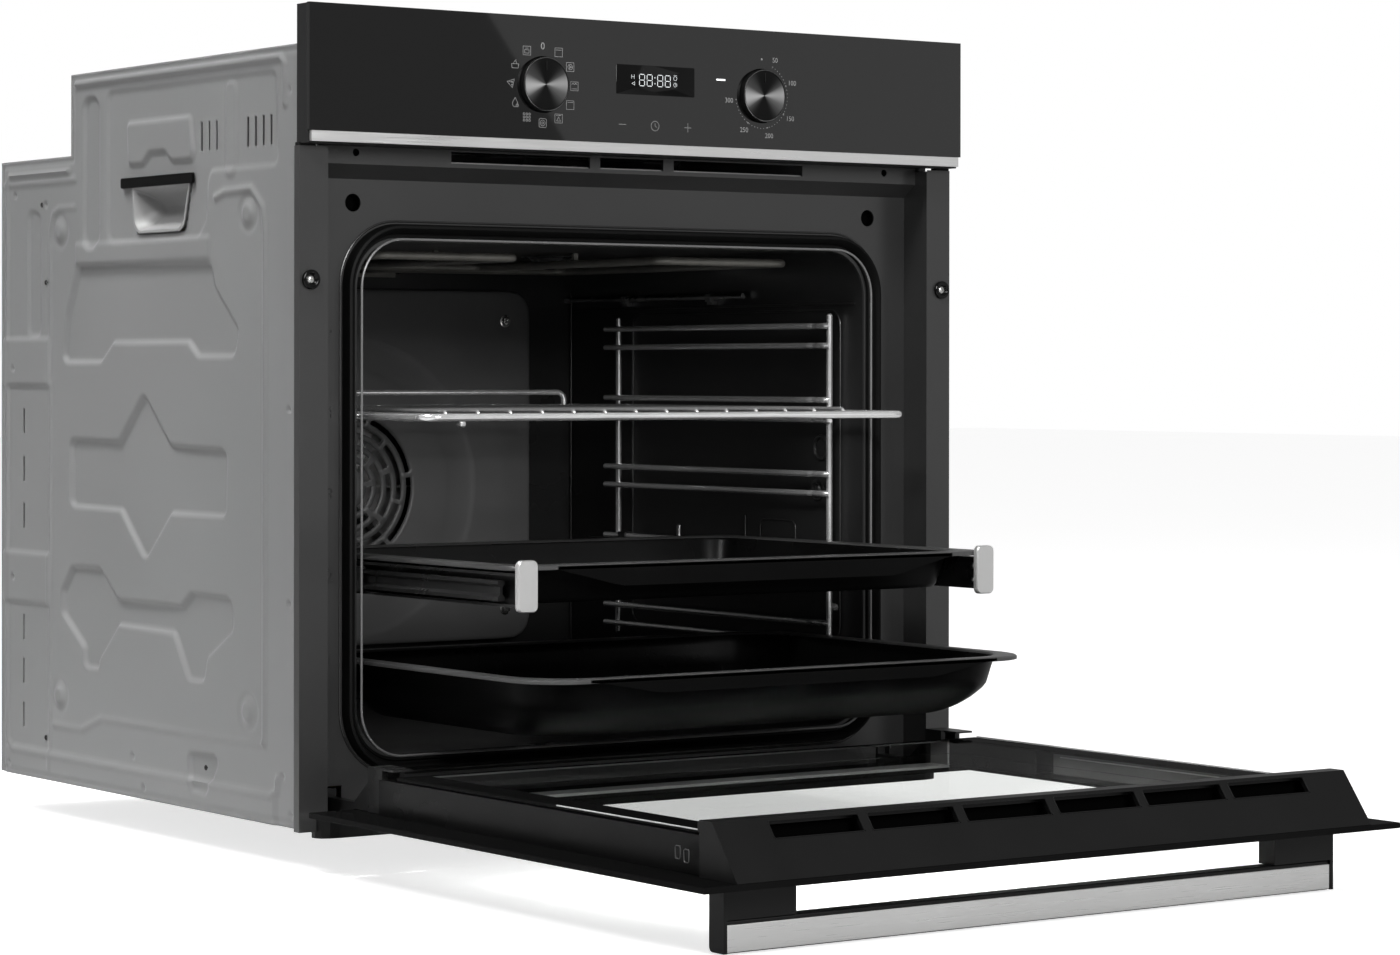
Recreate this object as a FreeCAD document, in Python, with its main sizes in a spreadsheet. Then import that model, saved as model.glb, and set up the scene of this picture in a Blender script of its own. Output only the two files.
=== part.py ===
import FreeCAD, Part
import Sketcher
import os, math

# Built-in wall oven with a drop-down door. Millimetres, +Z up, +X to the right seen from the front,
# +Y to the back. The drawing planes below are measured from the front of the control panel (y = 0)
# and from the underside of the carcass (z = 0); every piece is then placed so that the frame's
# origin is at mid-width and mid-depth of the carcass underside.

os.makedirs("parts", exist_ok=True)
V = FreeCAD.Vector
doc = FreeCAD.newDocument("WallOven")
sheet = doc.addObject("Spreadsheet::Sheet", "Dims")
ROW = [0]


def cell(alias, value):
    """A plain number in the sheet under a word alias; returns the number."""
    ROW[0] += 1
    a = "A%d" % ROW[0]
    sheet.set(a, repr(round(float(value), 5)))
    sheet.setAlias(a, alias)
    return round(float(value), 5)


MID = cell("front_to_middle", 275.0)      # panel front plane to mid-depth of the carcass
NODES = []


def place(obj, label, keep=False):
    """Label a finished piece and set it back by the frame's offset; `keep` leaves its own position in."""
    obj.Label = label
    if not keep:
        obj.Placement = FreeCAD.Placement(V(0, 0, 0), FreeCAD.Rotation())
    obj.setExpression("Placement.Base.y", "%.4f - Dims.front_to_middle" % (obj.Placement.Base.y if keep else 0))
    NODES.append(obj)
    return obj


# ---------------------------------------------------------------- driving dimensions
W2 = cell("front_half_width", 297.5)       # half width of the glass front
CW2 = cell("carcass_half_width", 279.0)    # half width of the carcass
SHT = cell("sheet_thickness", 1.0)
CAR_D = cell("carcass_rear", 530.0)
STEP_Y = cell("step_front", 405.0)         # the upper half of the carcass is shallower
STEP_Z = cell("step_level", 498.1)
CAR_H = cell("carcass_top", 562.1)
CAR_F = cell("carcass_front", 21.0)
FP_Y = cell("faceplate_front", 41.8)
FP_T = cell("faceplate_sheet", 1.2)
COL_Y = cell("column_front", 13.6)
CAV_W = cell("cavity_half_width", 233.0)
CAV_LO = cell("cavity_floor", 50.0)
CAV_HI = cell("cavity_ceiling", 422.0)
CAV_R = cell("cavity_corner_radius", 35.0)
CAV_F = cell("cavity_front", 43.0)
CAV_B = cell("cavity_rear", 452.0)
FAN_Z = cell("fan_level", 229.0)
HINGE_Y = cell("hinge_axis_y", 2.4)
HINGE_Z = cell("hinge_axis_z", 16.2)
KX = cell("knob_offset", 100.0)
KZ = cell("knob_level", 537.4)
KR = cell("knob_radius", 20.0)
SP_R = cell("spindle_radius", 3.0)
BUSH_X = cell("bush_offset", 288.8)
BUSH_Z = cell("bush_level", 392.4)
WIRE_Z = cell("wire_rack_level", 294.8)
RACK_X = cell("rack_offset", 221.0)


# ---------------------------------------------------------------- sketch helpers
def origin_plane(body, role):
    for o in body.Origin.OriginFeatures:
        if o.Role == role:
            return o
    raise RuntimeError(role)


def sk_loop(sk, pts):
    n = len(pts)
    g0 = sk.GeometryCount
    for i in range(n):
        a, b = pts[i], pts[(i + 1) % n]
        sk.addGeometry(Part.LineSegment(V(a[0], a[1], 0), V(b[0], b[1], 0)), False)
    for i in range(n):
        sk.addConstraint(Sketcher.Constraint("Coincident", g0 + i, 2, g0 + (i + 1) % n, 1))
    return g0


def sk_rect(sk, alias, x0, y0, x1, y1):
    """Rectangle held by its two sizes and its lower-left corner, all four bound to the sheet."""
    g = sk_loop(sk, [(x0, y0), (x1, y0), (x1, y1), (x0, y1)])
    for i in (0, 2):
        sk.addConstraint(Sketcher.Constraint("Horizontal", g + i))
    for i in (1, 3):
        sk.addConstraint(Sketcher.Constraint("Vertical", g + i))
    for kind, ge, p0, p1, val, nm in (("DistanceX", g, 1, 2, x1 - x0, "wide"), ("DistanceY", g + 1, 1, 2, y1 - y0, "high")):
        k = sk.addConstraint(Sketcher.Constraint(kind, ge, p0, ge, p1, val))
        cell(alias + "_" + nm, val)
        sk.setExpression("Constraints[%d]" % k, "Dims." + alias + "_" + nm)
    for kind, val, nm in (("DistanceX", x0, "left"), ("DistanceY", y0, "low")):
        if abs(val) < 1e-9:
            sk.addConstraint(Sketcher.Constraint("PointOnObject", g, 1, -2 if kind == "DistanceX" else -1))
            continue
        if val > 0:
            k = sk.addConstraint(Sketcher.Constraint(kind, -1, 1, g, 1, val))
        else:
            k = sk.addConstraint(Sketcher.Constraint(kind, g, 1, -1, 1, -val))
        cell(alias + "_" + nm, abs(val))
        sk.setExpression("Constraints[%d]" % k, "Dims." + alias + "_" + nm)


def sk_round_rect(sk, x0, y0, x1, y1, r):
    q = math.pi / 2
    L = lambda a, b: sk.addGeometry(Part.LineSegment(V(a[0], a[1], 0), V(b[0], b[1], 0)), False)
    A = lambda cx, cy, s: sk.addGeometry(Part.ArcOfCircle(Part.Circle(V(cx, cy, 0), V(0, 0, 1), r), s, s + q), False)
    L((x0 + r, y0), (x1 - r, y0)); A(x1 - r, y0 + r, -q)
    L((x1, y0 + r), (x1, y1 - r)); A(x1 - r, y1 - r, 0)
    L((x1 - r, y1), (x0 + r, y1)); A(x0 + r, y1 - r, q)
    L((x0, y1 - r), (x0, y0 + r)); A(x0 + r, y0 + r, 2 * q)


def sk_circle(sk, alias, cx, cy, r):
    g = sk.addGeometry(Part.Circle(V(cx, cy, 0), V(0, 0, 1), r), False)
    k = sk.addConstraint(Sketcher.Constraint("Radius", g, r))
    cell(alias + "_radius", r)
    sk.setExpression("Constraints[%d]" % k, "Dims." + alias + "_radius")


def sk_shape(sk, alias, i, s):
    nm = "%s_o%d" % (alias, i)
    nm = nm.replace("_o", "_opening")
    if s[0] == "rect":
        sk_rect(sk, nm, *s[1:])
    elif s[0] == "rr":
        sk_round_rect(sk, *s[1:])
    elif s[0] == "circle":
        sk_circle(sk, nm, *s[1:])
    else:
        sk_loop(sk, s[1])


def padded(label, plane, lo, hi, shapes, cuts=()):
    """A body made of one pad between lo and hi along the plane's normal; `shapes` are its outline
    and openings; each cut is (plane, lo, hi, [shapes]) and is taken out as a pocket."""
    body = doc.addObject("PartDesign::Body", label)
    sk = body.newObject("Sketcher::SketchObject", label + "_outline")
    sk.AttachmentSupport = [(origin_plane(body, plane + "_Plane"), "")]
    sk.MapMode = "FlatFace"
    back = plane == "XZ"
    cell(label + "_from", lo)
    cell(label + "_size", hi - lo)
    sk.AttachmentOffset = FreeCAD.Placement(V(0, 0, -lo if back else lo), FreeCAD.Rotation())
    sk.setExpression("AttachmentOffset.Base.z", ("-" if back else "") + "Dims." + label + "_from")
    for i, s in enumerate(shapes):
        sk_shape(sk, label, i, s)
    pad = body.newObject("PartDesign::Pad", label + "_pad")
    pad.Profile = sk
    pad.setExpression("Length", "Dims." + label + "_size")
    pad.Length = hi - lo
    pad.Reversed = back
    sk.Visibility = False
    for n, (pl, a, b, ss) in enumerate(cuts):
        doc.recompute()
        v0 = body.Shape.Volume
        ks = body.newObject("Sketcher::SketchObject", "%s_cut%d_sketch" % (label, n))
        ks.AttachmentSupport = [(origin_plane(body, pl + "_Plane"), "")]
        ks.MapMode = "FlatFace"
        bk = pl == "XZ"
        ks.AttachmentOffset = FreeCAD.Placement(V(0, 0, -a if bk else a), FreeCAD.Rotation())
        for i, s in enumerate(ss):
            sk_shape(ks, "%s_cut%d" % (label, n), i, s)
        po = body.newObject("PartDesign::Pocket", "%s_cut%d" % (label, n))
        po.Profile = ks
        po.Length = b - a
        po.Reversed = not bk
        doc.recompute()
        if body.Shape.Volume >= v0 - 1e-6:
            po.Reversed = bk
            doc.recompute()
        if body.Shape.Volume >= v0 - 1e-6:
            raise RuntimeError("pocket removed nothing: " + label)
    return place(body, label)


# ---------------------------------------------------------------- solid helpers
def box(x0, x1, y0, y1, z0, z1):
    return Part.makeBox(x1 - x0, y1 - y0, z1 - z0, V(x0, y0, z0))


def cyl(r, p, q):
    p, q = V(*p), V(*q)
    return Part.makeCylinder(r, (q - p).Length, p, q - p)


def poly(pts3):
    return Part.Face(Part.makePolygon([V(*p) for p in pts3] + [V(*pts3[0])]))


def prism_x(pts, x0, x1):
    return poly([(x0, y, z) for y, z in pts]).extrude(V(x1 - x0, 0, 0))


def prism_y(pts, y0, y1):
    return poly([(x, y0, z) for x, z in pts]).extrude(V(0, y1 - y0, 0))


def prism_z(pts, z0, z1):
    return poly([(x, y, z0) for x, y in pts]).extrude(V(0, 0, z1 - z0))


def rr_wire(axis, at, a0, b0, a1, b1, r):
    """Rounded rectangle wire. axis 'y': a is x and b is z; axis 'z': a is x and b is y."""
    P = (lambda a, b: V(a, at, b)) if axis == "y" else (lambda a, b: V(a, b, at))
    k = r * (1 - math.sqrt(0.5))
    E = []
    L = lambda p, q: E.append(Part.LineSegment(P(*p), P(*q)).toShape())
    A = lambda p, m, q: E.append(Part.Arc(P(*p), P(*m), P(*q)).toShape())
    L((a0 + r, b0), (a1 - r, b0)); A((a1 - r, b0), (a1 - k, b0 + k), (a1, b0 + r))
    L((a1, b0 + r), (a1, b1 - r)); A((a1, b1 - r), (a1 - k, b1 - k), (a1 - r, b1))
    L((a1 - r, b1), (a0 + r, b1)); A((a0 + r, b1), (a0 + k, b1 - k), (a0, b1 - r))
    L((a0, b1 - r), (a0, b0 + r)); A((a0, b0 + r), (a0 + k, b0 + k), (a0 + r, b0))
    return Part.Wire(E)


def rr_y(x0, z0, x1, z1, r, y0, y1):
    return Part.Face(rr_wire("y", y0, x0, z0, x1, z1, r)).extrude(V(0, y1 - y0, 0))


def rr_z(x0, y0, x1, y1, r, z0, z1):
    return Part.Face(rr_wire("z", z0, x0, y0, x1, y1, r)).extrude(V(0, 0, z1 - z0))


def fuse(items):
    s = items[0]
    if len(items) > 1:
        s = s.fuse(items[1:])
    return s.removeSplitter()


def cut(a, items):
    for i in items:
        a = a.cut(i)
    return a


def mirror(s):
    return s.mirror(V(0, 0, 0), V(1, 0, 0))


def one(s, label):
    """The single solid of a boolean result."""
    if len(s.Solids) != 1:
        raise RuntimeError("%s has %d solids" % (label, len(s.Solids)))
    return s.Solids[0]


def feature(label, shape, solids=1):
    if solids == 1:
        shape = one(shape, label)
    elif len(shape.Solids) != solids:
        raise RuntimeError("%s has %d solids" % (label, len(shape.Solids)))
    f = doc.addObject("Part::Feature", label)
    f.Shape = shape
    return place(f, label)


def prim_box(name, x0, x1, y0, y1, z0, z1):
    b = doc.addObject("Part::Box", name)
    for prop, val, nm in (("Length", x1 - x0, "length"), ("Width", y1 - y0, "depth"), ("Height", z1 - z0, "height")):
        cell(name + "_" + nm, val)
        b.setExpression(prop, "Dims.%s_%s" % (name, nm))
    b.Placement = FreeCAD.Placement(V(x0, y0, z0), FreeCAD.Rotation())
    return b


def prim_cyl_y(name, x, z, r, y0, y1, axis="y"):
    """Cylinder along +Y (or +X with axis 'x', where x is then the start and y0 the y level)."""
    c = doc.addObject("Part::Cylinder", name)
    cell(name + "_radius", r)
    cell(name + "_reach", y1 - y0)
    c.setExpression("Radius", "Dims.%s_radius" % name)
    c.setExpression("Height", "Dims.%s_reach" % name)
    c.Placement = FreeCAD.Placement(V(x, y0, z), FreeCAD.Rotation(V(1, 0, 0), -90))
    return c


def prim_cut(label, base, tools):
    cur = base
    for i, t in enumerate(tools):
        c = doc.addObject("Part::Cut", "%s_step%d" % (label, i) if i < len(tools) - 1 else label)
        c.Base = cur
        c.Tool = t
        cur = c
    return cur


def prim_fuse(label, parts):
    m = doc.addObject("Part::MultiFuse", label)
    m.Shapes = parts
    return m


# ================================================================ casing
side_outline = [(CAR_F, 0), (CAR_D, 0), (CAR_D, STEP_Z), (STEP_Y, STEP_Z), (STEP_Y, CAR_H), (CAR_F, CAR_H)]
grip_hole = [(208.6, 469.4), (299.9, 469.4), (296.4, 434.1), (218.6, 434.1)]
vents = [("rect", y - 1.35, 492, y + 1.35, 513.5) for y in (193, 181.5, 170, 123, 111.5, 100, 88.5)]
rear_slots = [("rect", 487.4, z0, 489.9, z1) for z0, z1 in ((277.2, 297.2), (238.3, 258.2), (200.5, 220.4), (110.3, 130.3), (74.7, 94.7), (39.1, 59.0))]
for side, lo in (("left", -CW2), ("right", CW2 - SHT)):
    padded("side_panel_" + side, "YZ", lo, lo + SHT,
           [("poly", side_outline), ("poly", grip_hole)] + vents + rear_slots)

padded("base_panel", "XY", 0, SHT, [("rect", -278, 21.5, 278, 528.5)] +
       [("rect", x - 3, 300, x + 3, 350) for x in range(-150, 151, 25)] +
       [("rect", x - 3, 90, x + 3, 120) for x in range(-150, 151, 25)])

rear = prism_x([(529, 1.2), (530, 1.2), (530, 498.1), (405.3, 498.1), (405.3, 497.1), (529, 497.1)], -277.8, 277.8)
rear = cut(rear, [box(x - 2.5, x + 2.5, 520, 535, z, z + 34) for z in (70, 420) for x in range(-160, 161, 20)])
feature("rear_panel", rear)

top = prism_x([(21.4, 561.1), (404, 561.1), (404, 498.4), (405, 498.4), (405, 562.1), (21.4, 562.1)], -277.8, 277.8)
top = cut(top, [box(x - 2.5, x + 2.5, 400, 410, 512, 540) for x in range(-220, 101, 16)] +
          [cyl(7, (180, 400, 520), (180, 410, 520))])
feature("top_cover", top)

# plastic grip inserts: a lip over a scooped pocket in each side panel
scoop_out = [(208.9, 469.1), (299.6, 469.1), (296.1, 434.5), (218.9, 434.5)]
scoop_in = [(210.6, 467.4), (297.8, 467.4), (294.6, 436.1), (220.4, 436.1)]
grip = prism_x(scoop_out, 258, 279.3)
grip = grip.cut(prism_x(scoop_in, 259.6, 285))
grip = grip.fuse(box(279, 281.5, 200.7, 316.4, 468.4, 476.6))
grip = grip.fuse(cut(prism_x([(206.4, 472), (302, 472), (298.4, 432.2), (216.6, 432.2)], 279, 279.9), [prism_x(scoop_in, 270, 285)])).removeSplitter()
feature("grip_inserts", Part.makeCompound([one(grip, "grip"), one(mirror(grip), "grip")]), 2)

# ================================================================ front frame and seals
cz0, cz1 = 2.0, 487.0
col = [box(275.4, 297.6, COL_Y, COL_Y + FP_T, 10.7, cz1),
       box(283.4, 297.6, COL_Y, COL_Y + FP_T, cz0, 11),
       box(296.4, 297.6, COL_Y, 21, cz0, cz1),
       box(274.2, 275.4, COL_Y, 43, 10.7, 486.0),
       box(275.4, 278.0, FP_Y, 43, cz0, 465.0)]
plate = prism_x([(41.8, 2), (41.8, 466), (28, 476), (28, 500), (29.2, 500), (29.2, 476.6), (43, 466.6), (43, 2)], -274.8, 274.8)
front = fuse([plate] + col + [mirror(c) for c in col])
front = cut(front, [
    rr_y(-CAV_W - 0.5, CAV_LO - 0.5, CAV_W + 0.5, CAV_HI + 0.5, CAV_R + 0.5, 38, 50),
    box(-161.7, -38.9, 20, 35, 479, 487.5), box(-29.8, 28.4, 20, 35, 479, 487.5), box(38, 161.3, 20, 35, 479, 487.5)])
for s in (-1, 1):
    front = cut(front, [
        cyl(2.75, (s * 242.5, 20, 484.3), (s * 242.5, 35, 484.3)),
        cyl(6.5, (s * 236.9, 38, 449), (s * 236.9, 46, 449)),
        cyl(4.7, (s * BUSH_X, 10, BUSH_Z), (s * BUSH_X, 18, BUSH_Z)),
        box(min(s * 246, s * 260), max(s * 246, s * 260), 38, 46, 6, 30)])
feature("front_frame", front)

bush = []
for s in (-1, 1):
    b = cyl(7.0, (s * BUSH_X, 10.9, BUSH_Z), (s * BUSH_X, COL_Y, BUSH_Z)).fuse(cyl(4.5, (s * BUSH_X, COL_Y - 0.5, BUSH_Z), (s * BUSH_X, 24, BUSH_Z)))
    b = b.cut(cyl(2.3, (s * BUSH_X, 5, BUSH_Z), (s * BUSH_X, 30, BUSH_Z)))
    bush.append(one(b.removeSplitter(), "bush"))
feature("fixing_bushes", Part.makeCompound(bush), 2)

padded("lower_trim", "XY", -3.0, 10.5, [("poly", [(-283, 21), (-283, 16), (-280.5, 11.5), (-275, 9), (-268, 8), (268, 8), (275, 9), (280.5, 11.5), (283, 16), (283, 21)])])

gasket = rr_y(-246.2, 37, 246.2, 434.6, 46, 32.4, 41.8).cut(rr_y(-235.4, 48, 235.4, 424.4, 36, 30, 45))
feature("door_gasket", gasket)

# ================================================================ cavity
shell = rr_y(-CAV_W - 1, CAV_LO - 1, CAV_W + 1, CAV_HI + 1, CAV_R + 1, CAV_F, CAV_B)
shell = shell.cut(rr_y(-CAV_W, CAV_LO, CAV_W, CAV_HI, CAV_R, 30, 460))
LX, LY = cell("lamp_offset", 101.0), cell("lamp_depth", 290.0)
shell = shell.cut(cyl(15, (LX, LY, 410), (LX, LY, 430)))
feature("cavity_shell", shell)

leads = [(12.0, 413.5), (-12.0, 413.5)]
ring_leads = [(-20.0, FAN_Z - 85.7), (20.0, FAN_Z - 85.7)]
back = rr_y(-CAV_W - 1, CAV_LO - 1, CAV_W + 1, CAV_HI + 1, CAV_R + 1, CAV_B, CAV_B + 1)
back = back.fuse(cyl(101, (0, CAV_B, FAN_Z), (0, 480, FAN_Z))).cut(cyl(100, (0, CAV_B - 5, FAN_Z), (0, 479, FAN_Z)))
back = cut(back, [cyl(4.5, (0, 470, FAN_Z), (0, 490, FAN_Z))] +
           [cyl(3.8, (x, 445, z), (x, 470, z)) for x, z in leads] +
           [cyl(3.8, (x, 470, z), (x, 490, z)) for x, z in ring_leads])
feature("cavity_back", back.removeSplitter())

ins = rr_y(-256, 12, 256, 458, 60, 62, 450).cut(rr_y(-235.2, 38, 235.2, 424.2, 30, 50, 460))
ins = ins.cut(cyl(21, (LX, LY, 420), (LX, LY, 470)))
feature("insulation_blanket", ins)

cover = rr_y(-184, 96, 184, 397, 20, 443, 451.8).cut(rr_y(-182.8, 97.2, 182.8, 395.8, 18.8, 444.2, 460))
for k, r in enumerate((20, 30, 40, 50, 60)):
    ring = cyl(r + 2.4, (0, 440, FAN_Z), (0, 446, FAN_Z)).cut(cyl(r - 2.4, (0, 440, FAN_Z), (0, 446, FAN_Z)))
    for a in ((10, 100), (45, 135), (20, 80, 140), (46, 106, 166), (10, 70, 130))[k]:
        s = box(-90, 90, 438, 448, -2.2, 2.2)
        s.rotate(V(0, 0, 0), V(0, 1, 0), a)
        s.translate(V(0, 0, FAN_Z))
        ring = ring.cut(s)
    cover = cover.cut(ring)
cover = cut(cover, [box(x - 2.5, x + 2.5, 440, 446, z - 14, z + 14) for z in (130, 360) for x in (-150, -138, -126, 126, 138, 150)])
feature("fan_cover", cover)

hub = cyl(10, (0, 453, FAN_Z), (0, 473, FAN_Z)).fuse(cyl(3, (0, 470, FAN_Z), (0, 500, FAN_Z)))
disc = cyl(75, (0, 472, FAN_Z), (0, 473, FAN_Z))
blades = []
for k in range(8):
    b = box(8, 74, 454, 472.2, -0.6, 0.6)
    b.rotate(V(0, 0, 0), V(0, 1, 0), 45 * k)
    b.translate(V(0, 0, FAN_Z))
    blades.append(b)
feature("convection_fan", fuse([hub, disc] + blades))

fm = prim_fuse("fan_motor_body", [prim_cyl_y("fan_motor_can", 0, FAN_Z, 30, 486, 518), prim_box("fan_motor_bracket", -55, 55, 480.2, 486.2, FAN_Z - 12, FAN_Z + 12)])
place(prim_cut("fan_motor", fm, [prim_cyl_y("fan_motor_bore", 0, FAN_Z, 3.3, 470, 502)]), "fan_motor")


def tube(points, radius, bend):
    """Bent rod: straight runs joined by tangent arcs of the given bend radius."""
    P = [V(*p) for p in points]
    E = []
    prev = P[0]
    for i in range(1, len(P) - 1):
        a = (P[i - 1] - P[i]).normalize()
        b = (P[i + 1] - P[i]).normalize()
        ang = a.getAngle(b)
        t = bend / math.tan(ang / 2)
        s, e = P[i] + a * t, P[i] + b * t
        m = (a + b).normalize()
        c = P[i] + m * (bend / math.sin(ang / 2))
        mid = c - m * bend
        if (s - prev).Length > 1e-6:
            E.append(Part.LineSegment(prev, s).toShape())
        E.append(Part.Arc(s, mid, e).toShape())
        prev = e
    E.append(Part.LineSegment(prev, P[-1]).toShape())
    w = Part.Wire(E)
    prof = Part.Wire([Part.Circle(P[0], P[1] - P[0], radius).toShape()])
    s = w.makePipeShell([prof], True, True)
    if s.ShapeType != "Solid":
        s = Part.Solid(s)
    if s.Volume < 0:
        s.reverse()
    return s


ROD = cell("element_radius", 3.25)
tor = Part.makeTorus(88, ROD, V(0, 464, FAN_Z), V(0, 1, 0))
ring = fuse([tor] + [cyl(ROD - 0.35, (x, 464, z), (x, 488, z)) for x, z in ring_leads])
feature("ring_element", ring)

gz = 413.5
grill = tube([(-12, 470, gz), (-12, 402, gz), (-190, 402, gz), (-190, 85, gz), (-66, 85, gz), (-66, 345, gz),
              (66, 345, gz), (66, 85, gz), (190, 85, gz), (190, 402, gz), (12, 402, gz), (12, 470, gz)], ROD, 11)
flange = box(-51, 51, 450.4, 452, 407.5, 420)
grill = fuse([grill, flange, box(-68, -64, 200, 203, gz, 421.9), box(64, 68, 200, 203, gz, 421.9)])
feature("grill_element", grill)

bz = 43.4
feature("bottom_element", tube([(-15, 460, bz), (-15, 400, bz), (-170, 400, bz), (-170, 95, bz), (170, 95, bz), (170, 400, bz), (15, 400, bz), (15, 460, bz)], ROD, 20))

lens = Part.makeSphere(18.95, V(LX, LY, CAV_HI - 11 + 18.95)).common(box(LX - 30, LX + 30, LY - 30, LY + 30, CAV_HI - 12, CAV_HI))
lens = lens.fuse(cyl(14.6, (LX, LY, CAV_HI - 1), (LX, LY, 428)))
lens = lens.cut(Part.makeSphere(16.6, V(LX, LY, CAV_HI - 11 + 18.95)).common(box(LX - 30, LX + 30, LY - 30, LY + 30, 400, CAV_HI)))
lens = lens.cut(cyl(12.4, (LX, LY, CAV_HI - 1.5), (LX, LY, 430)))
feature("lamp_lens", lens.removeSplitter())

holder = cyl(20, (LX, LY, 423.2), (LX, LY, 449)).cut(cyl(15, (LX, LY, 420), (LX, LY, 444)))
holder = holder.fuse(cyl(8, (LX, LY, 430), (LX, LY, 445))).fuse(box(LX - 6, LX + 6, LY - 4, LY + 4, 448, 455))
feature("lamp_holder", holder.removeSplitter())

probe = cyl(2.2, (227.6, 193, 389.6), (227.6, 451.8, 389.6))
for y in (236, 358):
    probe = probe.fuse([box(225.6, 229.6, y, y + 7, 385.5, 392.2), box(227.6, 233, y, y + 7, 383.5, 386.8)])
probe = probe.removeSplitter()
feature("thermostat_probe", probe)

# ================================================================ wire side racks and telescopic rails
RW = cell("rack_wire_radius", 2.5)
pairs = [364, 348.3, 305, 289.2, 246, 230.4, 187, 171.3, 127.5, 111.8]
items = [cyl(RW, (RACK_X, 73, z), (RACK_X, 381, z)) for z in pairs]
items += [cyl(RW, (225.6, y, 103), (225.6, y, 374)) for y in (75.5, 368)]
items += [cyl(3.0, (225.6, y, z), (233, y, z)) for y in (75.5, 368) for z in (140, 335)]
rack = fuse(items)
feature("side_rack_right", rack)
feature("side_rack_left", mirror(rack))

clip = []
for y in (104, 352):
    for z in (187.0, 171.3):
        c = box(217.2, 224.6, y - 5, y + 5, z - 3.6, z + 3.6).cut(cyl(2.7, (RACK_X, y - 9, z), (RACK_X, y + 9, z)))
        clip.append(c)
fixed = [box(217, 218.3, 62, 402, 167.5, 185.5), box(213.9, 217.5, 62, 402, 167.5, 169), box(213.9, 217.5, 62, 402, 184, 185.5)]
fr = fuse(fixed + clip)
fr = fr.cut(cyl(2.7, (RACK_X, 50, 187), (RACK_X, 410, 187))).cut(cyl(2.7, (RACK_X, 50, 171.3), (RACK_X, 410, 171.3)))
feature("rail_fixed_right", fr)
feature("rail_fixed_left", mirror(fr))

mid = [(210.6, 169.5), (216.5, 169.5), (216.5, 172), (214.6, 174), (214.6, 179), (216.5, 181), (216.5, 183.5), (210.6, 183.5), (210.6, 181), (212.5, 179), (212.5, 174), (210.6, 172)]
padded("rail_middle_right", "XZ", -118, 222, [("poly", mid)])
padded("rail_middle_left", "XZ", -118, 222, [("poly", [(-x, z) for x, z in mid])])

inner = [box(203, 205, -135, 206, 165.5, 189), box(204, 213.3, -135, 206, 165.5, 167.5), box(204, 213.3, -135, 206, 187, 189),
         cyl(3, (201, -121, 176), (204, -121, 176)), cyl(3, (201, 180, 176), (204, 180, 176))]
ri = fuse(inner)
feature("rail_inner_right", ri)
feature("rail_inner_left", mirror(ri))

cap = rr_y(196.8, 162, 213.3, 198, 3, -139.2, -135)
feature("rail_end_caps", Part.makeCompound([one(cap, "cap"), one(mirror(cap), "cap")]), 2)

# ================================================================ wire rack
z = WIRE_Z
frame = tube([(-188, 342, z), (-217.4, 342, z), (-217.4, -28.6, z), (217.4, -28.6, z), (217.4, 342, z), (188, 342, z)], 3.0, 12)
w = [frame, cyl(2.6, (-203, 342, z), (203, 342, z)), cyl(2.4, (-217.0, 4, z - 1), (217.0, 4, z - 1))]
for k in range(14):
    x = -182.2 + 28.03 * k
    w.append(tube([(x, 3.4, z - 1.6), (x, 3.4, z + 4.1), (x, 341.2, z + 4.1), (x, 341.2, z - 0.5)], 1.5, 2.2))
w.append(tube([(-152, 344, z + 0.5), (-152, 344, z + 15.2), (152, 344, z + 15.2), (152, 344, z + 0.5)], 2.4, 9))
w += [cyl(2.4, (s * 168, 0.5, z - 5.3), (s * 168, 8, z - 5.3)) for s in (-1, 1)]
w += [cyl(1.9, (s * 168, 4, z - 5.3), (s * 168, 4, z - 1)) for s in (-1, 1)]
rackw = w[0]
for q in w[1:]:
    rackw = rackw.fuse(q)
feature("wire_rack", rackw)


# ================================================================ trays
def tray(x_top, x_bot, y_ft, y_fb, y_rt, y_rb, z_top, z_bot, r_top, r_bot, th):
    """Open pan body: outer loft less inner loft, walls th thick."""
    o = Part.makeLoft([rr_wire("z", z_top, -x_top, y_ft, x_top, y_rt, r_top), rr_wire("z", z_bot, -x_bot, y_fb, x_bot, y_rb, r_bot)], True, True)
    sx = (x_top - x_bot) / (z_top - z_bot)
    sf = (y_fb - y_ft) / (z_top - z_bot)
    sr = (y_rt - y_rb) / (z_top - z_bot)
    ext = 2.0
    i = Part.makeLoft([rr_wire("z", z_top + ext, -x_top - sx * ext + th, y_ft - sf * ext + th, x_top + sx * ext - th, y_rt + sr * ext - th, r_top - th),
                       rr_wire("z", z_bot + th, -x_bot - sx * th + th, y_fb - sf * th + th, x_bot + sx * th - th, y_rb + sr * th - th, r_bot - th)], True, True)
    return o, i


TT = cell("tray_sheet", 1.0)
o, i = tray(197, 188, -117, -109, 179, 171, 193.5, 166, 24, 18, TT)
rim = rr_z(-214, -134, 214, 196, 14, 193, 194).fuse(rr_z(-214, -134, 214, 196, 14, 190.5, 193.2).cut(rr_z(-213, -133, 213, 195, 13, 185, 193)))
lip = prism_y([(-214 + 16, 193.4), (-214 + 16, 190.5), (-177, 190.5), (-122, 178), (122, 178), (177, 190.5), (198, 190.5), (198, 193.4)], -134, -133)
t1 = o.fuse([rim, lip]).cut(i)
feature("shallow_tray", t1.removeSplitter())

PF = cell("pan_front", -180.0)
PL = cell("pan_length", 325.0)
r0, r1 = PF, PF + PL
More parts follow.
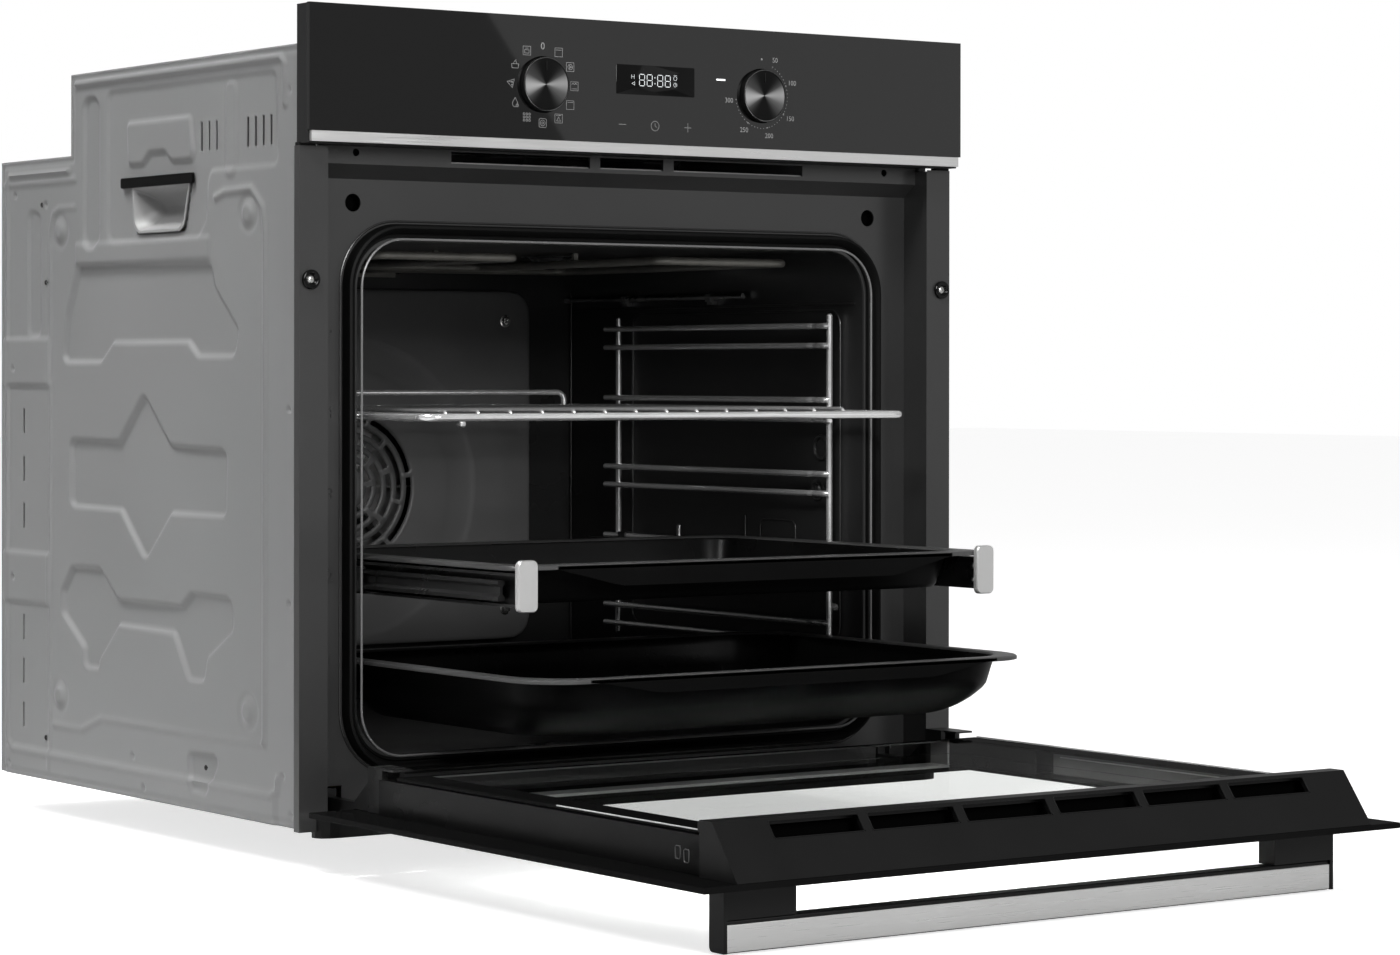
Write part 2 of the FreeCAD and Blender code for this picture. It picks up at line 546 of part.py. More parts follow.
# level, front set-back, half width, rear set-back and corner radius of each section down the wall
pan_sections = [(118, 11, 211, 11, 44), (97, 15, 206, 16, 42), (90, 22, 202, 20, 40), (83.5, 32, 198, 24, 38), (78, 43, 193, 29, 36), (74, 55, 187, 35, 34)]
o = Part.makeLoft([rr_wire("z", zz, -x, r0 + f, x, r1 - g, r) for zz, f, x, g, r in pan_sections], True, True)
th = 1.3
i = Part.makeLoft([rr_wire("z", 120, -211 + th, r0 + 11 + th, 211 - th, r1 - 11 - th, 44 - th)] +
                  [rr_wire("z", zz + 1.2 * (118 - zz) / 44.0, -x + th, r0 + f + th, x - th, r1 - g - th, r - th) for zz, f, x, g, r in pan_sections], True, True)
rim = rr_z(-222, r0, 222, r1, 40, 117.5, 118.5).fuse(rr_z(-222, r0, 222, r1, 40, 115, 117.7).cut(rr_z(-221, r0 + 1, 221, r1 - 1, 39, 110, 117.5)))
lip = prism_y([(-181, 117.9), (-181, 115.5), (-170, 115), (-122, 106.5), (122, 106.5), (170, 115), (181, 115.5), (181, 117.9)], r0, r0 + 1)
t2 = o.fuse([rim, lip]).cut(i)
feature("deep_pan", t2.removeSplitter())

# ================================================================ control panel
padded("panel_glass", "XZ", 0.0, 4.0, [("rect", -W2, 497.2, W2, 587.2), ("circle", -KX, KZ, 20.8), ("circle", KX, KZ, 20.8)])
padded("panel_trim_strip", "XZ", 0.3, 4.0, [("rect", -295.5, 489.6, 295.5, 497.0)])

hs = box(-296.5, 296.5, 4.2, 19.3, 488.6, 587).cut(box(-294.5, 294.5, 6.2, 25, 490.6, 585))
hs = hs.fuse(box(-274, 274, 4.2, 28, 488.6, 490.6))
for s in (-1, 1):
    hs = hs.fuse(cyl(24, (s * KX, 5, KZ), (s * KX, 19.3, KZ)))
for s in (-1, 1):
    hs = hs.cut(cyl(21.0, (s * KX, 0, KZ), (s * KX, 25, KZ)))
hs = hs.cut(box(-35.2, 37.3, 0, 8, 533.1, 556.0))
feature("panel_housing", hs.removeSplitter())

db = prim_fuse("display_board", [prim_box("display_block", -34.8, 36.9, 4.3, 10.2, 533.5, 555.6), prim_box("display_circuit", -60, 72, 10, 11.6, 516, 572)])
place(db, "display_board")

for nm, s in (("function", -1), ("thermostat", 1)):
    sw = prim_box(nm + "_switch_case", s * KX - 23, s * KX + 23, 19.3, 44, KZ - 23, KZ + 23)
    place(prim_cut(nm + "_switch", sw, [prim_cyl_y(nm + "_switch_bore", s * KX, KZ, 3.3, 15, 40.5)]), nm + "_switch")
    place(prim_cyl_y(nm + "_spindle_rod", s * KX, KZ, SP_R, -2.5, 40.0), nm + "_spindle", True)
    kb = prim_cyl_y(nm + "_knob_body", s * KX, KZ, KR, -5.2, 14)
    place(prim_cut(nm + "_knob", kb, [prim_cyl_y(nm + "_knob_bore", s * KX, KZ, 3.3, -3.0, 20)]), nm + "_knob")

# ================================================================ cooling duct, fan and terminal box
d_out = [(47, 465.2), (31, 478.6), (31, 495), (60, 495), (80, 545), (240, 545), (240, 465.2)]
d_in = [(47.8, 466.4), (30, 480.9), (30, 493.8), (60.9, 493.8), (80.9, 543.8), (238.8, 543.8), (238.8, 466.4)]
duct = prism_x(d_out, -170, 170).cut(prism_x(d_in, -168.8, 168.8))
CY, CZ = cell("blower_depth", 198.0), cell("blower_level", 508.0)
duct = cut(duct, [cyl(5, (160, CY, CZ), (180, CY, CZ)), cyl(5, (-180, CY, CZ), (-160, CY, CZ))] +
           [box(x - 4, x + 4, 236, 245, 480, 530) for x in range(-140, 141, 20)])
feature("air_duct", duct)

rot = cyl(3, (-174, CY, CZ), (192, CY, CZ))
parts = [rot, cyl(27, (-150, CY, CZ), (-148.5, CY, CZ)), cyl(27, (148.5, CY, CZ), (150, CY, CZ)), cyl(27, (-0.75, CY, CZ), (0.75, CY, CZ))]
for k in range(16):
    b = box(-149, 149, 20, 27, -0.5, 0.5)
    b.rotate(V(0, 23.5, 0), V(1, 0, 0), 28)
    b.rotate(V(0, 0, 0), V(1, 0, 0), 22.5 * k)
    b.translate(V(0, CY, CZ))
    parts.append(b)
feature("cooling_fan_rotor", fuse(parts))

mot = cyl(27, (172, CY, CZ), (200, CY, CZ)).fuse(box(170, 173, CY - 32, CY + 32, CZ - 14, CZ + 14)).cut(cyl(3.3, (168, CY, CZ), (194, CY, CZ)))
feature("cooling_fan_motor", mot.removeSplitter())

tb = box(150, 210, 405, 430, 502, 550).cut(box(152, 208, 407, 428, 504, 548))
tb = tb.fuse(cyl(9, (180, 417.5, 499), (180, 417.5, 503))).cut(cyl(5.5, (180, 417.5, 490), (180, 417.5, 506)))
tb = tb.cut(cyl(6, (180, 400, 526), (180, 409, 526)))
feature("terminal_box", tb.removeSplitter())

# ================================================================ hinge arms (fixed) and door, drawn open
HX0, HX1 = cell("hinge_arm_inner", 249.5), cell("hinge_arm_outer", 256.5)
arm = prism_x([(HINGE_Y - 1.2, 11.4), (60, 11.4), (60, 22), (HINGE_Y + 2.0, 22), (HINGE_Y + 2.0, 17.4), (HINGE_Y - 1.2, 17.0)], HX0, HX1)
arm = arm.cut(cyl(2.1, (240, HINGE_Y, HINGE_Z), (265, HINGE_Y, HINGE_Z)))
arm = arm.fuse(box(HX0, HX1, 43.2, 60, 8, 28)).removeSplitter()
feature("hinge_arms", Part.makeCompound([one(arm, "arm"), one(mirror(arm), "arm")]), 2)

padded("door_outer_glass", "XY", 13.8, 17.8, [("rect", -W2, -467.9, W2, 0.0)],
       )
padded("door_middle_glass", "XY", 29.0, 32.0, [("rect", -239.5, -425, 239.5, -60)])
padded("door_inner_glass", "XY", 42.7, 45.6, [("rect", -262, -424.6, 262, -60)])

prof = [(265, 17.9), (265, 42.5), (240.5, 42.5), (240.5, 41.0), (263.5, 41.0), (263.5, 19.4), (240.5, 19.4), (240.5, 17.9)]
for side, s in (("left", -1), ("right", 1)):
    padded("door_side_profile_" + side, "XZ", -427, -41, [("poly", [(s * x, zz) for x, zz in prof])])

vt = prism_x([(-466, 17.9), (-440, 53), (-427.2, 53), (-425.2, 51.5), (-425.2, 46), (-427.2, 46), (-427.2, 17.9), (-430, 17.9), (-430, 48), (-438.6, 48), (-459.5, 19.9), (-459.5, 17.9)], -271, 271)
lower_ends = prism_x([(-466, 17.9), (-440, 53), (-427.2, 53), (-427.2, 17.9)], 268, 271)
vt = fuse([vt, lower_ends, mirror(lower_ends)])
slot = 233.0 * 2 / 6
for k in range(6):
    a = -233 + slot * k + 3
    b = -233 + slot * (k + 1) - 3
    vt = vt.cut(prism_x([(-470, 40.7), (-470, 51.0), (-436, 51.0), (-436, 40.7)], a, b))
feature("door_vent_trim", vt)

padded("door_bottom_profile", "XZ", -58, -38, [("poly", [(-238, 18), (238, 18), (238, 42.5), (-238, 42.5)]),
                                               ("poly", [(-236, 20), (236, 20), (236, 40.5), (-236, 40.5)])])

case = box(244, 262.5, -150, -40, 19.6, 40.6).cut(box(246, 260.5, -160, -38, 21.4, 39))
near = box(244, 262.5, -41, -22, 18.2, 50).cut(box(248, 258, -41.5, -10, 10, 48.4))
cheek = [(-30, 18.2), (-30, 42), (-22, 42), (3.5, 20.8), (6.4, 18.5), (6.4, 13), (4.4, 11.9), (0.4, 11.9), (0.4, 18.2)]
ch = [prism_x(cheek, 246, 248), prism_x(cheek, 258, 260)]
flg = box(246.6, 262.5, -56, -22, 48.6, 50)
pin = cyl(2.0, (246, HINGE_Y, HINGE_Z), (260, HINGE_Y, HINGE_Z))
hc = fuse([case, near, flg, pin] + ch)
feature("hinge_cases", Part.makeCompound([one(hc, "hinge case"), one(mirror(hc), "hinge case")]), 2)

# handle: two posts, a black bar between them and a steel plate on its face
hp = prism_x([(-439.5, 13.7), (-424.4, 13.7), (-424.4, -25.8), (-425.3, -27.9), (-427.4, -28.8), (-439.5, -28.8)], 258.8, 261.6)
hp = hp.fuse(box(205.5, 260, -439.5, -424.4, -8.3, 13.7)).removeSplitter()
feature("handle_posts", Part.makeCompound([one(hp, "post"), one(mirror(hp), "post")]), 2)
padded("handle_bar", "XZ", -438, -426, [("rect", -258.6, -29, 258.6, -8.5)])
padded("handle_plate", "XZ", -438.9, -438.1, [("rect", -258.5, -28.2, 258.5, -11.3)])

# ================================================================ checks and export
doc.recompute()
doc.recompute()
bad = [o.Name for o in doc.Objects if "Invalid" in o.State or "Error" in o.State]
if bad:
    raise RuntimeError("failed objects: %s" % bad)
names = [n.Label for n in NODES]
if len(set(names)) != len(names) or len(names) > 60:
    raise RuntimeError("node names: %d" % len(names))
for n in NODES:
    if n.Shape.isNull() or not n.Shape.isValid() or n.Shape.Volume <= 0:
        raise RuntimeError("bad shape: " + n.Label)
for n in NODES:
    n.Shape.exportStep("parts/%s.step" % n.Label)
print(len(NODES), "pieces")
for n in NODES:
    b = n.Shape.BoundBox
    print("%-26s vol %9.1f cm3  x %7.1f %7.1f  y %7.1f %7.1f  z %7.1f %7.1f  solids %d" % (
        n.Label, n.Shape.Volume / 1000, b.XMin, b.XMax, b.YMin + MID, b.YMax + MID, b.ZMin, b.ZMax, len(n.Shape.Solids)))
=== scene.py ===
import bpy, bmesh, math, random
import numpy as np
from mathutils import Vector, Matrix


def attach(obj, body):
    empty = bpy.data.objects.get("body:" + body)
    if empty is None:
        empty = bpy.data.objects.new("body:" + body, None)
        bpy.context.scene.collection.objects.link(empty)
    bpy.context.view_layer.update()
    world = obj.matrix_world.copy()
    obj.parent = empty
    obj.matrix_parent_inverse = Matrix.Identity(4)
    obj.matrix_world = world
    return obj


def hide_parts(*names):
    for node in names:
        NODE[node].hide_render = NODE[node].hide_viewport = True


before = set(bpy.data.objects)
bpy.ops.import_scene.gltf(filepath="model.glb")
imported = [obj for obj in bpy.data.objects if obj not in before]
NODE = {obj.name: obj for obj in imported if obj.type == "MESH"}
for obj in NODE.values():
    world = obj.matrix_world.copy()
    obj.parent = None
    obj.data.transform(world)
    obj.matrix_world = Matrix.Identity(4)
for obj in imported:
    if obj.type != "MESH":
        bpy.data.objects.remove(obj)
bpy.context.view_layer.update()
random.seed(7)
Y0 = 275.0          # millimetre drawing planes: y is measured from the panel's front, the frame's origin is 275 mm behind it


def P(x, y, z):
    return (x / 1000.0, (y - Y0) / 1000.0, z / 1000.0)


# =====================================================================================================================
# materials
# =====================================================================================================================
def new_mat(name):
    m = bpy.data.materials.new(name)
    m.use_nodes = True
    nt = m.node_tree
    b = nt.nodes["Principled BSDF"]
    return m, nt, b


def coords(nt, scale=(1, 1, 1), rot=(0, 0, 0)):
    tc = nt.nodes.new("ShaderNodeTexCoord")
    mp = nt.nodes.new("ShaderNodeMapping")
    mp.inputs["Scale"].default_value = scale
    mp.inputs["Rotation"].default_value = rot
    nt.links.new(tc.outputs["Object"], mp.inputs["Vector"])
    return mp.outputs["Vector"]


def noise(nt, vec, scale, detail=3.0, rough=0.55):
    n = nt.nodes.new("ShaderNodeTexNoise")
    n.inputs["Scale"].default_value = scale
    n.inputs["Detail"].default_value = detail
    n.inputs["Roughness"].default_value = rough
    nt.links.new(vec, n.inputs["Vector"])
    return n.outputs["Fac"]


def ramp(nt, fac, stops):
    r = nt.nodes.new("ShaderNodeValToRGB")
    e = r.color_ramp.elements
    while len(e) < len(stops):
        e.new(0.5)
    for k, (p, c) in enumerate(stops):
        e[k].position = p
        e[k].color = (c, c, c, 1) if isinstance(c, (int, float)) else (*c, 1)
    nt.links.new(fac, r.inputs["Fac"])
    return r.outputs["Color"]


def surface(name, base, rough=0.5, metallic=0.0, col_var=0.12, rough_var=0.08, scale=9.0, fine=700.0, bump=0.05,
            coat=0.0, coat_rough=0.08, spec=0.5, stretch=None, wear=0.0, speck=0.0, aniso=0.0):
    """Procedural finish: slow colour drift, fine grain in roughness and bump, optional specks, optional brushing."""
    m, nt, b = new_mat(name)
    b.inputs["Metallic"].default_value = metallic
    b.inputs["Specular IOR Level"].default_value = spec
    b.inputs["Coat Weight"].default_value = coat
    b.inputs["Coat Roughness"].default_value = coat_rough
    if aniso:
        b.inputs["Anisotropic"].default_value = aniso
    slow = noise(nt, coords(nt), scale, 4)
    lo = tuple(c * (1 - col_var) for c in base)
    hi = tuple(min(1, c * (1 + col_var)) for c in base)
    col = ramp(nt, slow, [(0.3, lo), (0.7, hi)])
    grain = noise(nt, coords(nt, stretch or (1, 1, 1)), fine, 2)
    if speck:
        sp = ramp(nt, noise(nt, coords(nt), 2600.0, 1), [(0.66, 0.0), (0.74, 1.0)])
        mx = nt.nodes.new("ShaderNodeMix")
        mx.data_type = "RGBA"
        nt.links.new(sp, mx.inputs["Factor"])
        nt.links.new(col, mx.inputs["A"])
        mx.inputs["B"].default_value = (*[min(1, c + speck) for c in base], 1)
        col = mx.outputs["Result"]
    nt.links.new(col, b.inputs["Base Color"])
    r = nt.nodes.new("ShaderNodeMapRange")
    r.inputs["From Min"].default_value = 0.3
    r.inputs["From Max"].default_value = 0.7
    r.inputs["To Min"].default_value = max(0.02, rough - rough_var)
    r.inputs["To Max"].default_value = min(1.0, rough + rough_var)
    nt.links.new(grain if stretch else slow, r.inputs["Value"])
    nt.links.new(r.outputs["Result"], b.inputs["Roughness"])
    if bump:
        bp = nt.nodes.new("ShaderNodeBump")
        bp.inputs["Strength"].default_value = bump
        bp.inputs["Distance"].default_value = 0.0002
        nt.links.new(grain, bp.inputs["Height"])
        nt.links.new(bp.outputs["Normal"], b.inputs["Normal"])
    return m


M = {}
M["zinc"] = surface("zinc_sheet", (0.146, 0.147, 0.148), 0.50, 0.0, 0.05, 0.06, 5.0, 900, 0.10, spec=0.60)
M["zinc_in"] = surface("zinc_sheet_plain", (0.30, 0.30, 0.30), 0.5, 0.6, 0.08, 0.08, 7.0, 700, 0.10)
M["frame"] = surface("satin_black_enamel", (0.0235, 0.0235, 0.0235), 0.34, 0.0, 0.10, 0.04, 6.0, 1500, 0.05, spec=0.55)
M["cavity"] = surface("dark_oven_enamel", (0.0155, 0.0155, 0.0156), 0.32, 0.0, 0.15, 0.05, 8.0, 1400, 0.06, spec=0.42, speck=0.012)
# the fan cover is the cavity's own enamel set about six times lighter: painted light for the light that falls on the
# plate
M["cover"] = surface("fan_cover_enamel_painted_light", (0.090, 0.090, 0.090), 0.42, 0.0, 0.12, 0.05, 8.0, 1400, 0.06, spec=0.45, speck=0.012)
M["tray"] = surface("tray_enamel", (0.0030, 0.0030, 0.0030), 0.26, 0.0, 0.2, 0.05, 10.0, 1200, 0.05, spec=0.20, speck=0.004)
# the pan rim is the tray enamel set far lighter: a painted highlight along the rim
M["rim"] = surface("tray_enamel_rim_painted_highlight", (0.042, 0.042, 0.042), 0.34, 0.0, 0.1, 0.05, 10.0, 1200, 0.05, spec=0.6)
M["chrome"] = surface("bright_wire", (0.86, 0.86, 0.86), 0.20, 0.78, 0.05, 0.05, 30.0, 900, 0.03)
M["chrome_dark"] = surface("plated_wire_dull", (0.42, 0.42, 0.42), 0.28, 1.0, 0.10, 0.06, 25.0, 900, 0.04)
M["rail"] = surface("drawn_steel", (0.30, 0.30, 0.30), 0.30, 1.0, 0.08, 0.06, 20.0, 500, 0.05, stretch=(1, 0.03, 1))
M["rail_dark"] = surface("blackened_steel", (0.03, 0.03, 0.03), 0.30, 0.6, 0.10, 0.06, 20.0, 500, 0.05)
M["brushed"] = surface("brushed_plate", (0.60, 0.60, 0.595), 0.36, 0.6, 0.06, 0.12, 6.0, 1300, 0.30, stretch=(0.012, 1, 1))
M["strip"] = surface("brushed_strip", (0.76, 0.76, 0.755), 0.34, 1.0, 0.03, 0.08, 6.0, 900, 0.08, stretch=(0.02, 1, 1))
M["cap"] = surface("brushed_end_cap", (0.62, 0.62, 0.615), 0.38, 0.7, 0.03, 0.08, 6.0, 900, 0.08, stretch=(1, 1, 0.03))
M["plastic"] = surface("black_moulded_plastic", (0.0034, 0.0034, 0.0034), 0.40, 0.0, 0.08, 0.05, 14.0, 2200, 0.14, spec=0.20)
M["plastic_dull"] = surface("black_plastic_dull", (0.006, 0.006, 0.006), 0.6, 0.0, 0.08, 0.05, 14.0, 2200, 0.2, spec=0.3)
M["grey_plastic"] = surface("grey_moulded_plastic", (0.19, 0.19, 0.19), 0.5, 0.0, 0.05, 0.05, 14.0, 1600, 0.12)
M["rubber"] = surface("silicone_seal", (0.0035, 0.0035, 0.0035), 0.55, 0.0, 0.10, 0.05, 30.0, 900, 0.2, spec=0.12)
M["screw"] = surface("zinc_screw", (0.55, 0.55, 0.54), 0.28, 1.0, 0.06, 0.06, 60.0, 900, 0.05)
M["black_metal"] = surface("black_painted_profile", (0.003, 0.003, 0.003), 0.30, 0.0, 0.10, 0.05, 12.0, 1200, 0.05, spec=0.12)
M["profile_in"] = surface("grey_profile_inside", (0.13, 0.13, 0.13), 0.40, 0.1, 0.08, 0.05, 12.0, 1200, 0.06)
M["fan"] = surface("fan_sheet", (0.42, 0.42, 0.42), 0.35, 1.0, 0.10, 0.06, 30.0, 600, 0.05)
M["element"] = surface("heater_tube", (0.17, 0.165, 0.150), 0.42, 0.4, 0.2, 0.1, 40.0, 900, 0.1)
M["wool"] = surface("mineral_wool", (0.42, 0.38, 0.28), 0.95, 0.0, 0.25, 0.02, 40.0, 260, 1.0)
M["ceramic"] = surface("ceramic", (0.7, 0.68, 0.6), 0.3, 0.0, 0.05, 0.05, 40.0, 500, 0.05)
M["print"] = surface("printed_mark", (0.24, 0.24, 0.24), 0.6, 0.0, 0.04, 0.02, 60.0, 900, 0.0)
# spun metal knob face; its base colour is replaced below by a painted highlight
M["dial"] = surface("spun_metal_painted_glint", (0.085, 0.085, 0.085), 0.34, 1.0, 0.04, 0.04, 40.0, 900, 0.0, aniso=0.35)
M["edge_light"] = surface("polished_edge", (0.30, 0.30, 0.30), 0.16, 1.0, 0.03, 0.03, 40.0, 900, 0.0)
M["black_glass"] = surface("black_panel_glass", (0.0035, 0.0035, 0.0035), 0.024, 0.0, 0.05, 0.004, 3.0, 900, 0.0, spec=0.5)
M["emboss"] = surface("embossed_enamel", (0.022, 0.022, 0.022), 0.30, 0.0, 0.08, 0.04, 10.0, 1500, 0.04, spec=0.6)
M["frame_edge"] = surface("enamel_edge", (0.020, 0.020, 0.020), 0.24, 0.0, 0.08, 0.04, 10.0, 1500, 0.04, spec=0.6)
M["bush"] = surface("glossy_bush", (0.0012, 0.0012, 0.0012), 0.10, 0.0, 0.08, 0.03, 20.0, 900, 0.03, spec=0.22)
# grey for the rim of the cavity opening: painted highlight along the edge
M["edge_grey"] = surface("opening_rim_painted_highlight", (0.16, 0.16, 0.16), 0.30, 0.2, 0.06, 0.04, 20.0, 900, 0.03)
# pale grey for thin lines that stand in for edge highlights: painted highlight
M["line_light"] = surface("painted_highlight_line", (0.50, 0.50, 0.50), 0.40, 0.0, 0.05, 0.04, 20.0, 900, 0.03)
M["lens_dark"] = surface("lamp_bowl", (0.030, 0.030, 0.030), 0.10, 0.0, 0.10, 0.03, 20.0, 900, 0.03, spec=0.8)
# outer face of the pans: the tray enamel made darker and almost without mirror, painted shade
M["tray_out"] = surface("tray_enamel_outside_painted_shade", (0.0026, 0.0026, 0.0026), 0.34, 0.0, 0.2, 0.05, 10.0, 1200, 0.05, spec=0.045, speck=0.003)
# near-black, matt, almost without mirror: painted shade put inside holes and slots
M["void"] = surface("painted_shade_black", (0.0010, 0.0010, 0.0010), 0.85, 0.0, 0.10, 0.05, 20.0, 900, 0.10, spec=0.02)
M["lip"] = surface("grip_lip_plastic", (0.0016, 0.0016, 0.0016), 0.55, 0.0, 0.08, 0.05, 14.0, 2200, 0.14, spec=0.08)
M["window_black"] = surface("display_window", (0.0012, 0.0012, 0.0012), 0.05, 0.0, 0.05, 0.01, 3.0, 900, 0.0, spec=0.25)

# radial tangent on the spun dials, so that the highlight fans out from the centre
_nt = M["dial"].node_tree
_tg = _nt.nodes.new("ShaderNodeTangent")
_tg.direction_type = "RADIAL"
_tg.axis = "Y"
_nt.links.new(_tg.outputs["Tangent"], _nt.nodes["Principled BSDF"].inputs["Tangent"])
# painted highlight: the base colour is lighter along two opposite fans and darker between them, by angle round the
# knob's centre, in place of the bow-tie shine that spun discs show under light
_tc = _nt.nodes.new("ShaderNodeTexCoord")
_sp = _nt.nodes.new("ShaderNodeSeparateXYZ")
_nt.links.new(_tc.outputs["Generated"], _sp.inputs[0])


def _mth(op, a_, b_=None):
    n_ = _nt.nodes.new("ShaderNodeMath")
    n_.operation = op
    for i_, v_ in enumerate((a_, b_)):
        if v_ is None:
            continue
        if isinstance(v_, (int, float)):
            n_.inputs[i_].default_value = v_
        else:
            _nt.links.new(v_, n_.inputs[i_])
    return n_.outputs[0]


_th = _mth("ARCTAN2", _mth("SUBTRACT", _sp.outputs["Z"], 0.5), _mth("SUBTRACT", _sp.outputs["X"], 0.5))


def _painted_fan(deg, amp, power, turns=1.0):
    d_ = _mth("COSINE", _mth("MULTIPLY", _mth("SUBTRACT", _th, math.radians(deg)), turns))
    return _mth("MULTIPLY", _mth("POWER", _mth("MAXIMUM", d_, 0.0), power), amp)


_painted_glint_sum = _mth("ADD", _mth("ADD", _painted_fan(186, 1.0, 9), _painted_fan(4, 0.85, 9)), _mth("ADD", _painted_fan(-38, 0.30, 20), _painted_fan(140, 0.20, 20)))
_painted_glint_ramp = ramp(_nt, _painted_glint_sum, [(0.0, 0.012), (0.35, 0.10), (1.0, 0.62)])
_nt.links.new(_painted_glint_ramp, _nt.nodes["Principled BSDF"].inputs["Base Color"])


def emissive(name, col, strength):
    m, nt, b = new_mat(name)
    b.inputs["Base Color"].default_value = (*col, 1)
    b.inputs["Emission Color"].default_value = (*col, 1)
    n = ramp(nt, noise(nt, coords(nt), 300.0, 2), [(0.3, 0.92), (0.7, 1.0)])
    mx = nt.nodes.new("ShaderNodeMath")
    mx.operation = "MULTIPLY"
    mx.inputs[1].default_value = strength
    nt.links.new(n, mx.inputs[0])
    nt.links.new(mx.outputs[0], b.inputs["Emission Strength"])
    return m


M["digit"] = emissive("lit_segments", (0.55, 0.57, 0.58), 0.8)
M["led"] = emissive("status_lamp", (0.95, 0.96, 0.97), 1.0)


def clear(name, tint, k, rough=0.0, ior=1.5):
    """Pane: bends what is behind it, with a weak mirror on top that grows at flat angles; light passes to what is under it."""
    m, nt, b = new_mat(name)
    nt.nodes.remove(b)
    rf = nt.nodes.new("ShaderNodeBsdfRefraction")
    rf.inputs["IOR"].default_value = ior
    rf.inputs["Roughness"].default_value = 0.0
    tc_ = ramp(nt, noise(nt, coords(nt), 6.0, 2), [(0.3, tuple(0.985 * t for t in tint)), (0.7, tint)])
    nt.links.new(tc_, rf.inputs["Color"])
    gl = nt.nodes.new("ShaderNodeBsdfGlossy")
    gl.inputs["Roughness"].default_value = rough
    fr = nt.nodes.new("ShaderNodeFresnel")
    fr.inputs["IOR"].default_value = ior
    mu = nt.nodes.new("ShaderNodeMath")
    mu.operation = "MULTIPLY"
    mu.inputs[1].default_value = k
    mix = nt.nodes.new("ShaderNodeMixShader")
    nt.links.new(fr.outputs["Fac"], mu.inputs[0])
    nt.links.new(mu.outputs[0], mix.inputs["Fac"])
    nt.links.new(rf.outputs["BSDF"], mix.inputs[1])
    nt.links.new(gl.outputs["BSDF"], mix.inputs[2])
    tr = nt.nodes.new("ShaderNodeBsdfTransparent")
    nt.links.new(tc_, tr.inputs["Color"])
    lp_ = nt.nodes.new("ShaderNodeLightPath")
    m2_ = nt.nodes.new("ShaderNodeMixShader")
    nt.links.new(lp_.outputs["Is Shadow Ray"], m2_.inputs["Fac"])
    nt.links.new(mix.outputs["Shader"], m2_.inputs[1])
    nt.links.new(tr.outputs["BSDF"], m2_.inputs[2])
    nt.links.new(m2_.outputs["Shader"], nt.nodes["Material Output"].inputs["Surface"])
    return m


def dark_gloss(name, base, k, rough=0.04, ior=1.5):
    """Black print under glass: dark body, weak mirror."""
    m, nt, b = new_mat(name)
    nt.nodes.remove(b)
    df = nt.nodes.new("ShaderNodeBsdfDiffuse")
    c = ramp(nt, noise(nt, coords(nt), 14.0, 3), [(0.3, tuple(0.8 * t for t in base)), (0.7, base)])
    nt.links.new(c, df.inputs["Color"])
    gl = nt.nodes.new("ShaderNodeBsdfGlossy")
    rg = nt.nodes.new("ShaderNodeMapRange")
    rg.inputs["To Min"].default_value = rough
    rg.inputs["To Max"].default_value = rough + 0.03
    nt.links.new(noise(nt, coords(nt), 30.0, 2), rg.inputs["Value"])
    nt.links.new(rg.outputs["Result"], gl.inputs["Roughness"])
    fr = nt.nodes.new("ShaderNodeFresnel")
    fr.inputs["IOR"].default_value = ior
    mu = nt.nodes.new("ShaderNodeMath")
    mu.operation = "MULTIPLY"
    mu.inputs[1].default_value = k
    mix = nt.nodes.new("ShaderNodeMixShader")
    nt.links.new(fr.outputs["Fac"], mu.inputs[0])
    nt.links.new(mu.outputs[0], mix.inputs["Fac"])
    nt.links.new(df.outputs["BSDF"], mix.inputs[1])
    nt.links.new(gl.outputs["BSDF"], mix.inputs[2])
    nt.links.new(mix.outputs["Shader"], nt.nodes["Material Output"].inputs["Surface"])
    return m


M["door_black"] = dark_gloss("black_printed_glass", (0.004, 0.004, 0.004), 0.11)


def glass(name, tint, rough=0.0, ior=1.5):
    """Clear pane: refracts what is behind it and lets light through to what is under it."""
    m, nt, b = new_mat(name)
    b.inputs["Base Color"].default_value = (*tint, 1)
    b.inputs["Transmission Weight"].default_value = 1.0
    b.inputs["IOR"].default_value = ior
    r = nt.nodes.new("ShaderNodeMapRange")
    r.inputs["To Min"].default_value = rough
    r.inputs["To Max"].default_value = rough + 0.02
    nt.links.new(noise(nt, coords(nt), 20.0, 2), r.inputs["Value"])
    nt.links.new(r.outputs["Result"], b.inputs["Roughness"])
    lp = nt.nodes.new("ShaderNodeLightPath")
    tr = nt.nodes.new("ShaderNodeBsdfTransparent")
    tr.inputs["Color"].default_value = (*[0.86 * t for t in tint], 1)
    mix = nt.nodes.new("ShaderNodeMixShader")
    out = nt.nodes["Material Output"]
    nt.links.new(lp.outputs["Is Shadow Ray"], mix.inputs["Fac"])
    nt.links.new(b.outputs["BSDF"], mix.inputs[1])
    nt.links.new(tr.outputs["BSDF"], mix.inputs[2])
    nt.links.new(mix.outputs["Shader"], out.inputs["Surface"])
    return m


M["pane"] = clear("clear_pane", (0.985, 0.988, 0.985), 0.07)
M["lens"] = glass("lamp_glass", (0.55, 0.55, 0.54))


